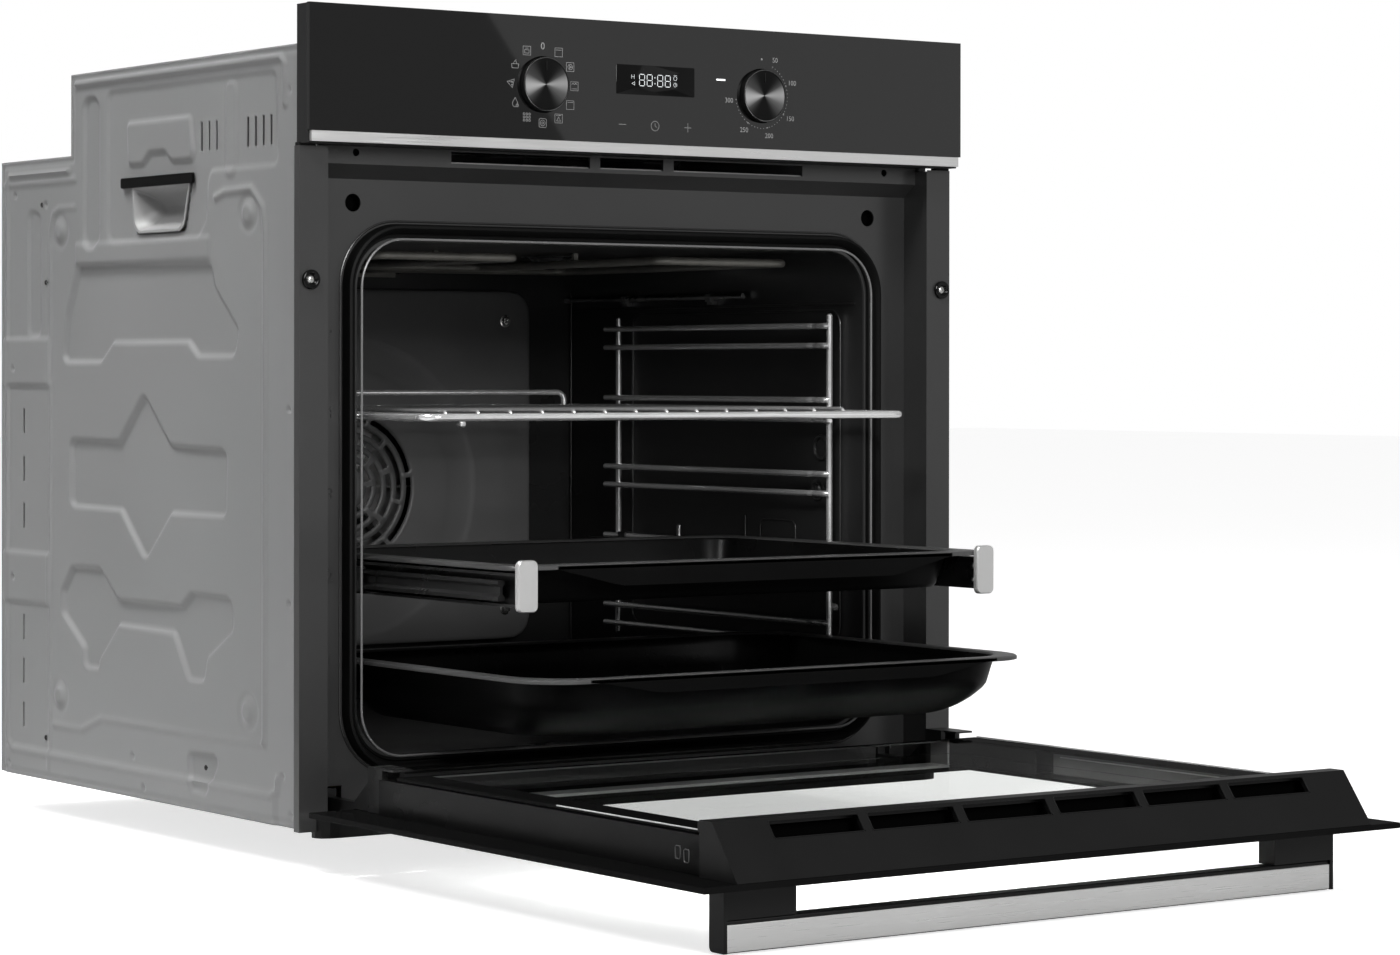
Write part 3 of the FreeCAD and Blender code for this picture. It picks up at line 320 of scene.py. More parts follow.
# =====================================================================================================================
# mesh building
# =====================================================================================================================
class B:
    """Collects vertices (mm, drawing frame), faces and material numbers."""

    def __init__(s):
        s.v, s.f, s.m = [], [], []

    def add(s, vs, fs, mi=0):
        o = len(s.v)
        s.v += [tuple(map(float, v)) for v in vs]
        s.f += [tuple(i + o for i in f) for f in fs]
        s.m += [mi] * len(fs)
        return s

    def box(s, x0, x1, y0, y1, z0, z1, mi=0):
        v = [(x, y, z) for x in (x0, x1) for y in (y0, y1) for z in (z0, z1)]
        return s.add(v, [(0, 1, 3, 2), (4, 6, 7, 5), (0, 4, 5, 1), (2, 3, 7, 6), (0, 2, 6, 4), (1, 5, 7, 3)], mi)

    def prism(s, axis, pts, lo, hi, mi=0):
        """Polygon in the plane across `axis`, stretched from lo to hi. pts: x:(y,z) y:(x,z) z:(x,y)."""
        if axis == "x":
            q = lambda a, b, t: (t, a, b)
        elif axis == "y":
            q = lambda a, b, t: (a, t, b)
        else:
            q = lambda a, b, t: (a, b, t)
        n = len(pts)
        v = [q(a, b, lo) for a, b in pts] + [q(a, b, hi) for a, b in pts]
        f = [tuple(range(n)), tuple(range(2 * n - 1, n - 1, -1))]
        f += [(i, i + n, (i + 1) % n + n, (i + 1) % n) for i in range(n)]
        return s.add(v, f, mi)

    def loops(s, ls, close_first=False, close_last=False, mi=0, ring=True):
        """Skin a list of equal-length loops."""
        n = len(ls[0])
        v = [p for l in ls for p in l]
        f = []
        for k in range(len(ls) - 1):
            for i in range(n if ring else n - 1):
                j = (i + 1) % n
                f.append((k * n + i, k * n + j, (k + 1) * n + j, (k + 1) * n + i))
        if close_first:
            f.append(tuple(range(n))[::-1])
        if close_last:
            f.append(tuple((len(ls) - 1) * n + i for i in range(n)))
        return s.add(v, f, mi)

    def tube(s, pts, r, n=12, closed=False, mi=0, flat=None):
        """Round (or flattened) rod along a path."""
        p = [Vector(q) for q in pts]
        N = len(p)
        tan = []
        for i in range(N):
            if closed:
                d = p[(i + 1) % N] - p[i - 1]
            else:
                d = p[min(i + 1, N - 1)] - p[max(i - 1, 0)]
            tan.append(d.normalized())
        up = Vector((0, 0, 1)) if abs(tan[0].z) < 0.9 else Vector((1, 0, 0))
        u = tan[0].cross(up).normalized()
        rings = []
        for i in range(N):
            if i:
                q = tan[i - 1].rotation_difference(tan[i])
                u = q @ u
            w = tan[i].cross(u)
            rr = r[i] if isinstance(r, (list, tuple)) else r
            fl = flat[i] if flat else 1.0
            rings.append([tuple(p[i] + (u * math.cos(a) * rr + w * math.sin(a) * rr * fl)) for a in [2 * math.pi * k / n for k in range(n)]])
        if closed:
            rings.append(rings[0])
            return s.loops(rings, mi=mi)
        return s.loops(rings, True, True, mi)

    def lathe(s, prof, origin, axis="y", n=48, mi=0, cap0=False, cap1=False):
        """Profile of (radius, distance along axis) turned round the axis through origin."""
        ls = []
        for r, d in prof:
            l = []
            for k in range(n):
                a = 2 * math.pi * k / n
                c, t = r * math.cos(a), r * math.sin(a)
                x, y, z = origin
                if axis == "y":
                    l.append((x + c, y + d, z + t))
                elif axis == "x":
                    l.append((x + d, y + c, z + t))
                else:
                    l.append((x + c, y + t, z + d))
            ls.append(l)
        return s.loops(ls, cap0, cap1, mi)

    def mirror(s):
        t = B()
        t.v = [(-x, y, z) for x, y, z in s.v]
        t.f = [tuple(reversed(f)) for f in s.f]
        t.m = list(s.m)
        return t

    def join(s, o):
        k = len(s.v)
        s.v += o.v
        s.f += [tuple(i + k for i in f) for f in o.f]
        s.m += o.m
        return s

    def both(s):
        return s.join(s.mirror())

    def make(s, name, body, mats, rep=(), bevel=0.0, seg=2, angle=35, slot=None, recalc=True, smooth=True, weld=True):
        me = bpy.data.meshes.new(name)
        me.from_pydata([P(*v) for v in s.v], [], s.f)
        for m in (mats if isinstance(mats, (list, tuple)) else [mats]):
            me.materials.append(M[m] if isinstance(m, str) else m)
        me.polygons.foreach_set("material_index", s.m)
        bm = bmesh.new()
        bm.from_mesh(me)
        if weld:
            bmesh.ops.remove_doubles(bm, verts=bm.verts, dist=2e-6)
        if recalc:
            bmesh.ops.recalc_face_normals(bm, faces=bm.faces)
        bm.to_mesh(me)
        bm.free()
        if smooth:
            me.polygons.foreach_set("use_smooth", [True] * len(me.polygons))
            me.set_sharp_from_angle(angle=math.radians(angle))
        ob = bpy.data.objects.new(name, me)
        bpy.context.scene.collection.objects.link(ob)
        if bevel:
            md = ob.modifiers.new("edge", "BEVEL")
            md.width = bevel / 1000.0
            md.segments = seg
            md.limit_method = "ANGLE"
            md.angle_limit = math.radians(40)
            md.use_clamp_overlap = True
        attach(ob, body)
        if rep:
            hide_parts(*rep)
        return ob


def arc(cx, cy, r, a0, a1, n):
    return [(cx + r * math.cos(math.radians(a0 + (a1 - a0) * k / n)), cy + r * math.sin(math.radians(a0 + (a1 - a0) * k / n))) for k in range(n + 1)]


def rr(a0, b0, a1, b1, r, n=8):
    """Rounded rectangle outline, counter-clockwise."""
    return (arc(a1 - r, b0 + r, r, -90, 0, n) + arc(a1 - r, b1 - r, r, 0, 90, n) +
            arc(a0 + r, b1 - r, r, 90, 180, n) + arc(a0 + r, b0 + r, r, 180, 270, n))


def bend(points, r, n=6, closed=False):
    """Path through points with rounded corners of radius r (one value or one per point)."""
    p = [Vector(q) for q in points]
    N = len(p)
    out = []
    for i in range(N):
        if not closed and i in (0, N - 1):
            out.append(p[i])
            continue
        a, b = (p[i - 1] - p[i]), (p[(i + 1) % N] - p[i])
        la, lb = a.length, b.length
        a.normalize(), b.normalize()
        ang = a.angle(b)
        ri = r[i] if isinstance(r, (list, tuple)) else r
        if ang > math.radians(176) or ri <= 0:
            out.append(p[i])
            continue
        t = min(ri / math.tan(ang / 2), la * 0.48, lb * 0.48)
        re = t * math.tan(ang / 2)
        c = p[i] + (a + b).normalized() * (re / math.sin(ang / 2))
        s, e = p[i] + a * t - c, p[i] + b * t - c
        tot = s.angle(e)
        ax = s.cross(e).normalized()
        for k in range(n + 1):
            out.append(c + Matrix.Rotation(tot * k / n, 3, ax) @ s)
    return [tuple(q) for q in out]


def cad(node, *mats):
    """Finish for a CAD piece that is shown as it is."""
    o = NODE[node]
    o.data.materials.clear()
    for m in mats:
        o.data.materials.append(M[m])
    me = o.data
    me.polygons.foreach_set("material_index", [0] * len(me.polygons))
    return o


def text(body, string, x, z, size, y=-0.06, mat="print", align="CENTER", bodyname="oven", thick=0.03):
    cu = bpy.data.curves.new(body, "FONT")
    cu.body = string
    cu.size = size / 1000.0
    cu.align_x = align
    cu.align_y = "CENTER"
    cu.extrude = thick / 1000.0 / 2
    cu.resolution_u = 3
    ob = bpy.data.objects.new(body + "_tmp", cu)
    bpy.context.scene.collection.objects.link(ob)
    bpy.context.view_layer.update()
    dg = bpy.context.evaluated_depsgraph_get()
    me = bpy.data.meshes.new_from_object(ob.evaluated_get(dg))
    bpy.data.objects.remove(ob)
    me.transform(Matrix.Translation(Vector(P(x, y, z))) @ Matrix.Rotation(math.radians(90), 4, "X"))
    me.materials.clear()
    me.materials.append(M[mat])
    o = bpy.data.objects.new(body, me)
    bpy.context.scene.collection.objects.link(o)
    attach(o, bodyname)
    return o


# =====================================================================================================================
# casing: embossed side panels
# =====================================================================================================================
def sd_poly(Yg, Zg, pts, closed=True):
    """Distance to a polyline, negative inside when closed."""
    d = np.full(Yg.shape, 1e9)
    inside = np.zeros(Yg.shape, bool)
    n = len(pts)
    for i in range(n if closed else n - 1):
        (ay, az), (by, bz) = pts[i], pts[(i + 1) % n]
        ey, ez = by - ay, bz - az
        L2 = ey * ey + ez * ez
        t = np.clip(((Yg - ay) * ey + (Zg - az) * ez) / max(L2, 1e-9), 0, 1)
        d = np.minimum(d, np.hypot(Yg - ay - t * ey, Zg - az - t * ez))
        if closed and abs(ez) > 1e-9:
            c = ((az > Zg) != (bz > Zg)) & (Yg < ey * (Zg - az) / ez + ay)
            inside ^= c
    return np.where(inside, -d, d) if closed else d


def soft(t):
    t = np.clip(t, 0, 1)
    return t * t * (3 - 2 * t)


STAR = [(283, 310), (323, 272.5), (405, 273), (406, 221), (321, 220), (281, 183), (239.5, 220), (154, 220.6), (153, 269), (240, 271)]
HAT = [(420, 335), (355, 335), (334, 350), (213, 350), (197, 339), (142, 339), (135, 358), (170, 388), (178, 407), (393, 411), (412, 372)]
ARCH = [(403, 172), (354, 173), (326, 150), (222, 150), (206, 161), (145, 160), (143, 137), (183, 114), (188, 96), (211, 96), (235, 130),
        (324, 131), (358, 101), (358, 95), (382, 94), (382, 110), (420, 135), (420, 153)]
TOPREC = [(80, 544.5), (338, 544.5), (342, 540), (342, 432), (333, 428), (196, 428), (184, 440), (181, 470), (176, 477), (77, 477)]
TAB = [(310, 519), (209, 519), (203, 492), (206, 486), (236, 486), (248, 494.5), (272, 494.5), (284, 486), (308, 486)]
BEADW = [(384, 542), (358, 542), (358, 424), (384, 424)]
RIB = [(139, 541), (155, 541), (155, 471), (139, 471)]
LOW = [(434, 45), (385, 45), (351, 56), (212, 56), (171, 56), (96, 57)]
POCKET = [(211, 41), (162, 42), (182, 12), (205, 14)]
PLATE1 = [(441, 316), (526, 316), (526, 354), (441, 354)]
PLATE2 = [(441, 140), (526, 140), (526, 181), (441, 181)]
RCOL = [(459, 356), (481, 356), (481, 458), (459, 453)]
SLOTS = [(y - 1.35, y + 1.35, 492.0, 513.5) for y in (193, 181.5, 170, 123, 111.5, 100, 88.5)]
RSLOTS = [(487.4, 489.9, a, b) for a, b in ((277.2, 297.2), (238.3, 258.2), (200.5, 220.4), (110.3, 130.3), (74.7, 94.7), (39.1, 59.0))]
GRIP = [(208.6, 469.4), (299.9, 469.4), (296.4, 434.1), (218.6, 434.1)]


def side_panel(name, sign, node):
    ys = list(np.arange(21.0, 529.5, 1.9)) + [529.75, 405.0]
    zs = list(np.arange(0.0, 562.2, 1.9)) + [562.1, 498.1]
    for a, b, c, d in SLOTS + RSLOTS:
        ys += [a, b]
        zs += [c, d]
    ys = np.unique(np.round(ys, 2))
    zs = np.unique(np.round(zs, 2))
    keep = lambda v: v[np.concatenate([[True], np.diff(v) > 0.35])]
    ys, zs = keep(ys), keep(zs)
    Yg, Zg = np.meshgrid(ys, zs, indexing="ij")
    h = np.zeros(Yg.shape)
    W = 3.5
    rnd = lambda pts, r: [(q[1], q[2]) for q in bend([(0.0, y, z) for y, z in pts], r, 4, True)]
    ramp_ = lambda t: 0.25 * soft(t) + 0.75 * np.clip(t, 0, 1)
    step = lambda pts, a, w=W, r=7.0: a * ramp_(-sd_poly(Yg, Zg, rnd(pts, r)) / w + 0.5)
    bead = lambda pts, w, a: a * np.exp(-(sd_poly(Yg, Zg, pts, False) / w) ** 2)
    h -= step(STAR, 3.4) + step(HAT, 3.3) + step(ARCH, 3.3)
    h -= step(POCKET, 3.0, 3.2, 5.0)
    h -= step(TOPREC, 1.5, 4.0)
    h += step(TAB, 2.4, 3.4, 4.0)
    h += step(RIB, 1.5, 3.5)
    h -= step(BEADW, 2.8, 4.0, 11.0)
    h += step(PLATE1, 2.1, 3.2, 2.0) + step(PLATE2, 2.1, 3.2, 2.0)
    h -= step(RCOL, 1.8, 4.0)
    # folded flange round the outline, foot step and long beads
    outline = [(24, 3), (526, 3), (526, 494.5), (401.5, 494.5), (401.5, 558.5), (24, 558.5)]
    h -= 1.2 * np.exp(-(sd_poly(Yg, Zg, outline, True) / 1.8) ** 2)
    h += 1.7 * soft((21.0 - Zg) / 5.0 + 0.5) * soft((522 - Yg) / 4.0) * soft((Yg - 76) / 4.0)
    h += bead([(66, 520), (66, 549), (71, 554), (395, 554)], 2.2, 2.6)
    h += bead([(76, 33), (77, 24), (86, 21), (506, 21), (515, 25), (518, 34), (518, 478), (514, 486), (408, 486)], 2.2, 2.4)
    h += 1.4 * soft((428 - Zg) / 4.0 + 0.5) * soft((Zg - 411) / 4.0 + 0.5) * soft((Yg - 176) / 4.0) * soft((398 - Yg) / 4.0)
    h += bead([(169, 456), (154, 460), (114, 461), (98, 447), (95, 430), (95, 58)], 2.4, 1.9)
    h += bead(LOW, 2.4, 1.4)
    h += bead([(398, 479), (526, 479)], 2.4, 1.3) + bead([(398, 457), (425, 457), (436, 453), (441, 440), (441, 356)], 2.2, 1.1)
    h += bead([(441, 10), (441, 316)], 2.2, 1.0)
    for cy, cz in ((120, 443), (424, 439), (424, 69), (119.5, 78.5)):
        r = np.hypot(Yg - cy, Zg - cz)
        h += 2.0 * soft((9.5 - r) / 5.0) - 0.8 * np.exp(-((r - 12.5) / 2.0) ** 2)
    for cy, cz in ((449, 461), (445, 399), (300, 31), (505, 470), (505, 330), (505, 160), (69, 36), (279, 9), (512, 8), (57, 9), (60, 530), (60, 300), (60, 160)):
        r = np.hypot(Yg - cy, Zg - cz)
        h -= 1.8 * soft((2.8 - r) / 1.4)
    h = np.clip(h, -3.5, 2.6)
    gi = sd_poly(Yg, Zg, GRIP)
    ny, nz = len(ys), len(zs)
    yc, zc = (ys[:-1] + ys[1:]) / 2, (zs[:-1] + zs[1:]) / 2
    Yc, Zc = np.meshgrid(yc, zc, indexing="ij")
    ok = ~((Yc > 405) & (Zc > 498.1))
    for a, b, c, d in SLOTS + RSLOTS:
        ok &= ~((Yc > a) & (Yc < b) & (Zc > c) & (Zc < d))
    ok &= ~(sd_poly(Yc, Zc, GRIP) < 0.8)
    idx = np.arange(ny * nz).reshape(ny, nz)
    X = sign * (279.0 + h - 0.0)
    X = np.where(np.abs(X) > 281.6, sign * 281.6, X)
    v = np.stack([X.ravel(), Yg.ravel(), Zg.ravel()], 1)
    ii, jj = np.nonzero(ok)
    f = np.stack([idx[ii, jj], idx[ii + 1, jj], idx[ii + 1, jj + 1], idx[ii, jj + 1]], 1)
    used = np.unique(f)
    remap = -np.ones(len(v), int)
    remap[used] = np.arange(len(used))
    b = B()
    b.v = [tuple(q) for q in v[used]]
    b.f = [tuple(int(k) for k in q) for q in remap[f]]
    b.m = [0] * len(b.f)
    ob = b.make(name, "oven", ["zinc"], (node,), angle=60, slot="galvanised", weld=False)
    sol = ob.modifiers.new("sheet", "SOLIDIFY")
    sol.thickness = 0.0009
    sol.offset = -1.0 if sign > 0 else -1.0
    return ob


side_panel("side_sheet_left", -1, "side_panel_left")
side_panel("side_sheet_right", 1, "side_panel_right")

# black sheets just behind the side slots: painted shade seen through them
bk = B()
bk.box(274.6, 275.4, 82, 200, 487, 518)
bk.box(274.6, 275.4, 484, 493, 34, 302)
bk.both().make("slot_shade_backing", "oven", ["plastic_dull"], (), 0.2, 2, slot="galvanised")
# black cups in the pilot holes: painted shade inside them
bk = B()
for y, z in [(455.4, 461.0), (448.1, 398.5), (450.4, 165.7), (447.5, 33.4), (182.1, 32.4)]:
    bk.lathe([(2.2, 0.5), (1.9, 0.9), (1.3, 0.8), (0.9, -0.6)], (279.0, y, z), "x", 14, 0, cap1=True)
bk.both().make("pilot_holes", "oven", ["plastic_dull"], slot="galvanised")

# grip inserts: black lip over a grey moulded scoop
g = B()
g.loops([[(281.5 - 0.0, y, z) for y, z in rr(200.9, 468.6, 316.2, 476.4, 1.5, 4)], [(279.2, y, z) for y, z in rr(200.7, 468.4, 316.4, 476.6, 1.5, 4)]], True, True, 0)
g.both().make("grip_lip", "oven", ["lip"], (), 0.4, slot="black_plastic")
g = B()
def grip_ring(inset, x, top=0.0, low=0.0):
    p4 = [(208.9 + inset, 469.1 - inset - top), (299.6 - inset, 469.1 - inset - top), (296.1 - inset * 1.05, 434.5 + inset + low), (218.9 + inset * 1.05, 434.5 + inset + low)]
    r4 = [max(1.0, 2.5 - inset * 0.1), max(1.0, 2.5 - inset * 0.1), 12.0, 12.0]
    return [(x, q[1], q[2]) for q in bend([(0.0, y, z) for y, z in p4], r4, 7, True)]


g.loops([grip_ring(-1.6, 279.2), grip_ring(-1.2, 279.8), grip_ring(0.6, 279.7), grip_ring(1.6, 278.6), grip_ring(3.0, 274.0), grip_ring(5.0, 268.5, 0, 1), grip_ring(8.0, 263.5, 0, 2), grip_ring(11.0, 260.6, 0, 2), grip_ring(14.5, 259.4, 0, 2)], False, True, 0)
g.loops([grip_ring(-1.6, 279.2), grip_ring(0.4, 278.8), grip_ring(2.0, 258.5)], False, True, 0)
g.both().make("grip_scoop", "oven", ["grey_plastic"], ("grip_inserts",), 0.8, 3, slot="black_plastic", weld=True)

# folded base, rear panel and top cover, with beads, louvres and screws
cad("base_panel", "zinc")


def rear_sheet():
    """Rear panel: field set in from a raised rim, with raised beads level with the rim, louvre slots and a folded shelf."""
    sl = [(x - 2.5, x + 2.5, z, z + 34) for z in (70, 420) for x in range(-160, 161, 20)]
    xs = list(np.arange(-277.8, 277.81, 2.3)) + [277.8]
    zs = list(np.arange(1.2, 498.11, 2.3)) + [498.1]
    for a, b, c, d in sl:
        xs += [a, b]
        zs += [c, d]
    keep = lambda v: v[np.concatenate([[True], np.diff(v) > 0.35])]
    xs, zs = keep(np.unique(np.round(xs, 2))), keep(np.unique(np.round(zs, 2)))
    Xg, Zg = np.meshgrid(xs, zs, indexing="ij")
    rnd = lambda x0, x1, z0, z1, r: [(q[1], q[2]) for q in bend([(0.0, x0, z0), (0.0, x1, z0), (0.0, x1, z1), (0.0, x0, z1)], r, 6, True)]
    edge = np.minimum(np.minimum(277.8 - np.abs(Xg), Zg - 1.2), 498.1 - Zg)
    h = -2.0 + 2.0 * soft((7.0 - edge) / 3.5)
    for x0, x1, z0, z1, r in ((-230, 230, 140, 230, 18), (-230, 230, 260, 390, 18), (-150, 150, 160, 210, 18)):
        h = np.maximum(h, -2.0 + 2.0 * np.exp(-(sd_poly(Xg, Zg, rnd(x0, x1, z0, z1, r)) / 2.6) ** 2))
    for x in (-262, -130, 0, 130, 262):
        for z in (12, 250, 486):
            q = np.hypot(Xg - x, Zg - z)
            h = np.where(q < 9.0, np.minimum(h, -2.0 - 0.6 * soft((8.5 - q) / 2.5)), h)
    nx, nz = len(xs), len(zs)
    Xc, Zc = np.meshgrid((xs[:-1] + xs[1:]) / 2, (zs[:-1] + zs[1:]) / 2, indexing="ij")
    ok = np.ones(Xc.shape, bool)
    for a, b, c, d in sl:
        ok &= ~((Xc > a) & (Xc < b) & (Zc > c) & (Zc < d))
    v = np.stack([Xg.ravel(), (529.85 + h).ravel(), Zg.ravel()], 1)
    idx = np.arange(nx * nz).reshape(nx, nz)
    ii, jj = np.nonzero(ok)
    f = np.stack([idx[ii, jj], idx[ii, jj + 1], idx[ii + 1, jj + 1], idx[ii + 1, jj]], 1)
    used = np.unique(f)
    remap = -np.ones(len(v), int)
    remap[used] = np.arange(len(used))
    b = B()
    b.v = [tuple(q) for q in v[used]]
    b.f = [tuple(int(k) for k in q) for q in remap[f]]
    b.m = [0] * len(b.f)
    n = len(b.v)
    b.v += [(-277.8, 405.3, 498.1), (277.8, 405.3, 498.1), (277.8, 529.85, 498.1), (-277.8, 529.85, 498.1)]
    b.f.append((n, n + 1, n + 2, n + 3))
    b.m.append(0)
    ob = b.make("rear_sheet", "oven", ["zinc"], ("rear_panel",), angle=60, slot="galvanised", weld=False)
    sol = ob.modifiers.new("sheet", "SOLIDIFY")
    sol.thickness = 0.0009
    sol.offset = -1.0


rear_sheet()
cad("top_cover", "zinc")
s = B()


def screw(b, x, y, z, axis, r=4.0, out=1, mi=0):
    """Domed cross-head screw; `out` is the sense of the head along the axis."""
    prof = [(r, 0.0), (r, 0.7), (r * 0.86, 1.5), (r * 0.55, 2.1), (r * 0.22, 2.2), (r * 0.16, 1.2)]
    b.lathe([(a, out * d) for a, d in prof], (x, y, z), axis, 20, mi, cap0=False, cap1=True)


for x in (-262, -130, 0, 130, 262):
    for z in (12, 250, 486):
        screw(s, x, 527.4, z, "y")
for x in (-255, -85, 85, 255):
    screw(s, x, 405.0, 552, "y")
    for y in (40, 380):
        screw(s, x, y, 562.1, "z")
for x in (-262, 262):
    for y in (60, 270, 500):
        screw(s, x, y, 0.0, "z", out=-1)
s.make("casing_screws", "oven", ["screw"], slot="galvanised")

s = B()
for x0, x1, y0, y1 in ((-240, 240, 60, 180), (-240, -20, 210, 370), (20, 240, 210, 370)):
    s.tube(bend([(x0, y0, 562.2), (x1, y0, 562.2), (x1, y1, 562.2), (x0, y1, 562.2)], 20, 6, True), 1.6, 8, True)
for x0, x1, y0, y1 in ((-240, 240, 140, 270), (-240, 240, 370, 490)):
    s.tube(bend([(x0, y0, -0.1), (x1, y0, -0.1), (x1, y1, -0.1), (x0, y1, -0.1)], 20, 6, True), 1.4, 8, True)
s.tube(bend([(-230, 430, 498.2), (120, 430, 498.2), (120, 500, 498.2), (-230, 500, 498.2)], 14, 6, True), 1.5, 8, True)
s.make("casing_beads", "oven", ["zinc"], slot="galvanised")

for n in ("air_duct", "door_bottom_profile"):
    cad(n, "zinc_in")
for n in ("fan_motor", "cooling_fan_motor"):
    cad(n, "zinc_in")
cad("terminal_box", "plastic")
cad("convection_fan", "fan")
cad("cooling_fan_rotor", "fan")
for n in ("ring_element", "grill_element", "bottom_element"):
    cad(n, "element")
cad("insulation_blanket", "wool")
cad("lamp_lens", "lens_dark")
cad("lamp_holder", "ceramic")
cad("thermostat_probe", "chrome_dark")
cad("cavity_shell", "cavity")
cad("cavity_back", "cavity")
cad("front_frame", "frame")
cad("lower_trim", "plastic")
cad("door_gasket", "rubber")
cad("fixing_bushes", "plastic")
cad("hinge_arms", "rail_dark")
cad("hinge_cases", "rail_dark")
for n in ("side_rack_left", "side_rack_right", "wire_rack"):
    cad(n, "chrome")
for n in ("rail_fixed_left", "rail_fixed_right", "rail_middle_left", "rail_middle_right", "rail_inner_left", "rail_inner_right"):
    cad(n, "rail_dark")
cad("rail_end_caps", "cap")
cad("fan_cover", "cover")
cad("shallow_tray", "tray")
cad("deep_pan", "tray")
cad("panel_housing", "plastic_dull")
cad("panel_glass", "black_glass")
cad("panel_trim_strip", "strip")
cad("display_board", "window_black")
for n in ("function_switch", "thermostat_switch"):
    cad(n, "plastic")
for n in ("function_spindle", "thermostat_spindle"):
    cad(n, "rail")
for n in ("function_knob", "thermostat_knob"):
    cad(n, "dial")
cad("door_outer_glass", "pane")
cad("door_middle_glass", "pane")
cad("door_inner_glass", "pane")
for n in ("door_side_profile_left", "door_side_profile_right"):
    cad(n, "black_metal")
cad("door_vent_trim", "plastic")
cad("handle_posts", "plastic")
cad("handle_bar", "plastic")
cad("handle_plate", "brushed")

def ribbon(b, pts, w, y0, y1, closed=False, mi=0):
    """Flat stroke in the front plane, w wide, from depth y0 to y1."""
    n = len(pts)
    ls = []
    for i in range(n):
        p = Vector(pts[i])
        a = Vector(pts[i - 1]) if (i or closed) else None
        c = Vector(pts[(i + 1) % n]) if (i < n - 1 or closed) else None
        d1 = (p - a).normalized() if a is not None else (c - p).normalized()
        d2 = (c - p).normalized() if c is not None else d1
        m = d1 + d2
        m = m.normalized() if m.length > 1e-6 else d1
        nr = Vector((-m.y, m.x))
        k = w / 2 / max(0.4, abs(Vector((-d1.y, d1.x)).dot(nr)))
        l, r = p + nr * k, p - nr * k
        ls.append([(l.x, y0, l.y), (l.x, y1, l.y), (r.x, y1, r.y), (r.x, y0, r.y)])
    if closed:
        ls.append(ls[0])
        return b.loops(ls, mi=mi)
    return b.loops(ls, True, True, mi)


def circle(cx, cz, r, n=24, a0=0.0, a1=360.0):
    return [(cx + r * math.cos(math.radians(a0 + (a1 - a0) * k / n)), cz + r * math.sin(math.radians(a0 + (a1 - a0) * k / n))) for k in range(n)]


def dot(b, cx, cz, r, y0, y1, n=12, mi=0):
    b.prism("y", circle(cx, cz, r, n), y0, y1, mi)


# ------------------------------------------------------------------ control panel: marks, window, figures
PY0, PY1 = -0.10, 0.02
ic = B()
LW = 0.33


def at(deg, rad=28.0, cx=-100.4, cz=537.3):
    return cx + rad * math.sin(math.radians(deg)), cz + rad * math.cos(math.radians(deg))


def st(cx, cz, pts, closed=False, w=LW):
    ribbon(ic, [(cx + x, cz + z) for x, z in pts], w, PY0, PY1, closed)


SQ = [(-3.3, -3.2), (3.3, -3.2), (3.3, 3.2), (-3.3, 3.2)]
for deg in (30, 60, 90, 120, 150, 330):
    c = at(deg)
    st(*c, SQ, True)
c = at(30); st(*c, [(-2.6, 1.7), (2.6, 1.7)])
c = at(60); st(*c, circle(0, 0, 2.0, 18), True)
for a in (0, 120, 240):
    st(*at(60), [(0, 0), (1.4 * math.cos(math.radians(a)), 1.4 * math.sin(math.radians(a)))], w=0.7)
c = at(90); st(*c, [(-2.4, 1.2), (-1.2, 2.2), (0, 1.2), (1.2, 2.2), (2.4, 1.2)]); st(*c, [(-2.4, -1.9), (2.4, -1.9)])
c = at(120); st(*c, [(-2.4, 2.0), (2.4, 2.0)])
c = at(150); st(*c, [(-1.7, -1.8), (0, 1.3), (1.7, -1.8)], True); st(*c, [(-2.4, 2.2), (2.4, 2.2)])
c = at(180); st(*c, rr(-3.2, -3.2, 3.2, 3.2, 1.2, 4), True); st(*c, circle(0, 0, 2.1, 18), True); st(*c, circle(0, 0, 0.8, 10), True)
c = at(210)
for i in (-1, 0, 1):
    for j in (-1, 0, 1):
        st(*c, circle(i * 2.4, j * 2.3, 0.78, 10), True, 0.34)
c = at(240); st(*c, [(0, 3.6), (1.6, 1.2), (2.4, -0.8), (1.7, -2.6), (0, -3.2), (-1.7, -2.6), (-2.4, -0.8), (-1.6, 1.2)], True); st(*c, circle(1.9, -2.0, 1.1, 10), True)
c = at(270); st(*c, [(-3.2, 1.0), (3.0, 3.0), (1.4, -3.2)], True); st(*c, [(-1.6, 1.2), (1.6, 0.4)]); dot(ic, c[0] + 1.1, c[1] + 0.9, 0.6, PY0, PY1); dot(ic, c[0] + 1.0, c[1] - 1.1, 0.5, PY0, PY1)
c = at(300); st(*c, [(-3.2, 0.2), (3.2, 0.2), (2.6, -2.8), (-2.6, -2.8)], True); st(*c, [(-1.4, 0.4), (-0.6, 2.2), (0.8, 2.2), (1.4, 0.4)]); st(*c, [(0.3, 2.3), (0.9, 3.4)])
c = at(330); st(*c, [(-1.9, -1.8), (-1.9, 0.6), (1.9, 0.6), (1.9, -1.8)], True); st(*c, [(-1.3, 1.8), (1.3, 1.8)])
# temperature scale
for k in range(37):
    d = 24.7 + (261.4 - 24.7) * k / 36.0
    x, z = at(d, 24.6, 100.3, 537.4)
    dot(ic, x, z, 0.34, PY0, PY1, 10)
for d in (24.7, 69.6, 121.3, 166.8, 212.0, 261.4):
    x, z = at(d, 24.6, 100.3, 537.4)
    dot(ic, x, z, 0.55, PY0, PY1, 10)
dot(ic, 100.3, 565.4, 0.8, PY0, PY1, 12)
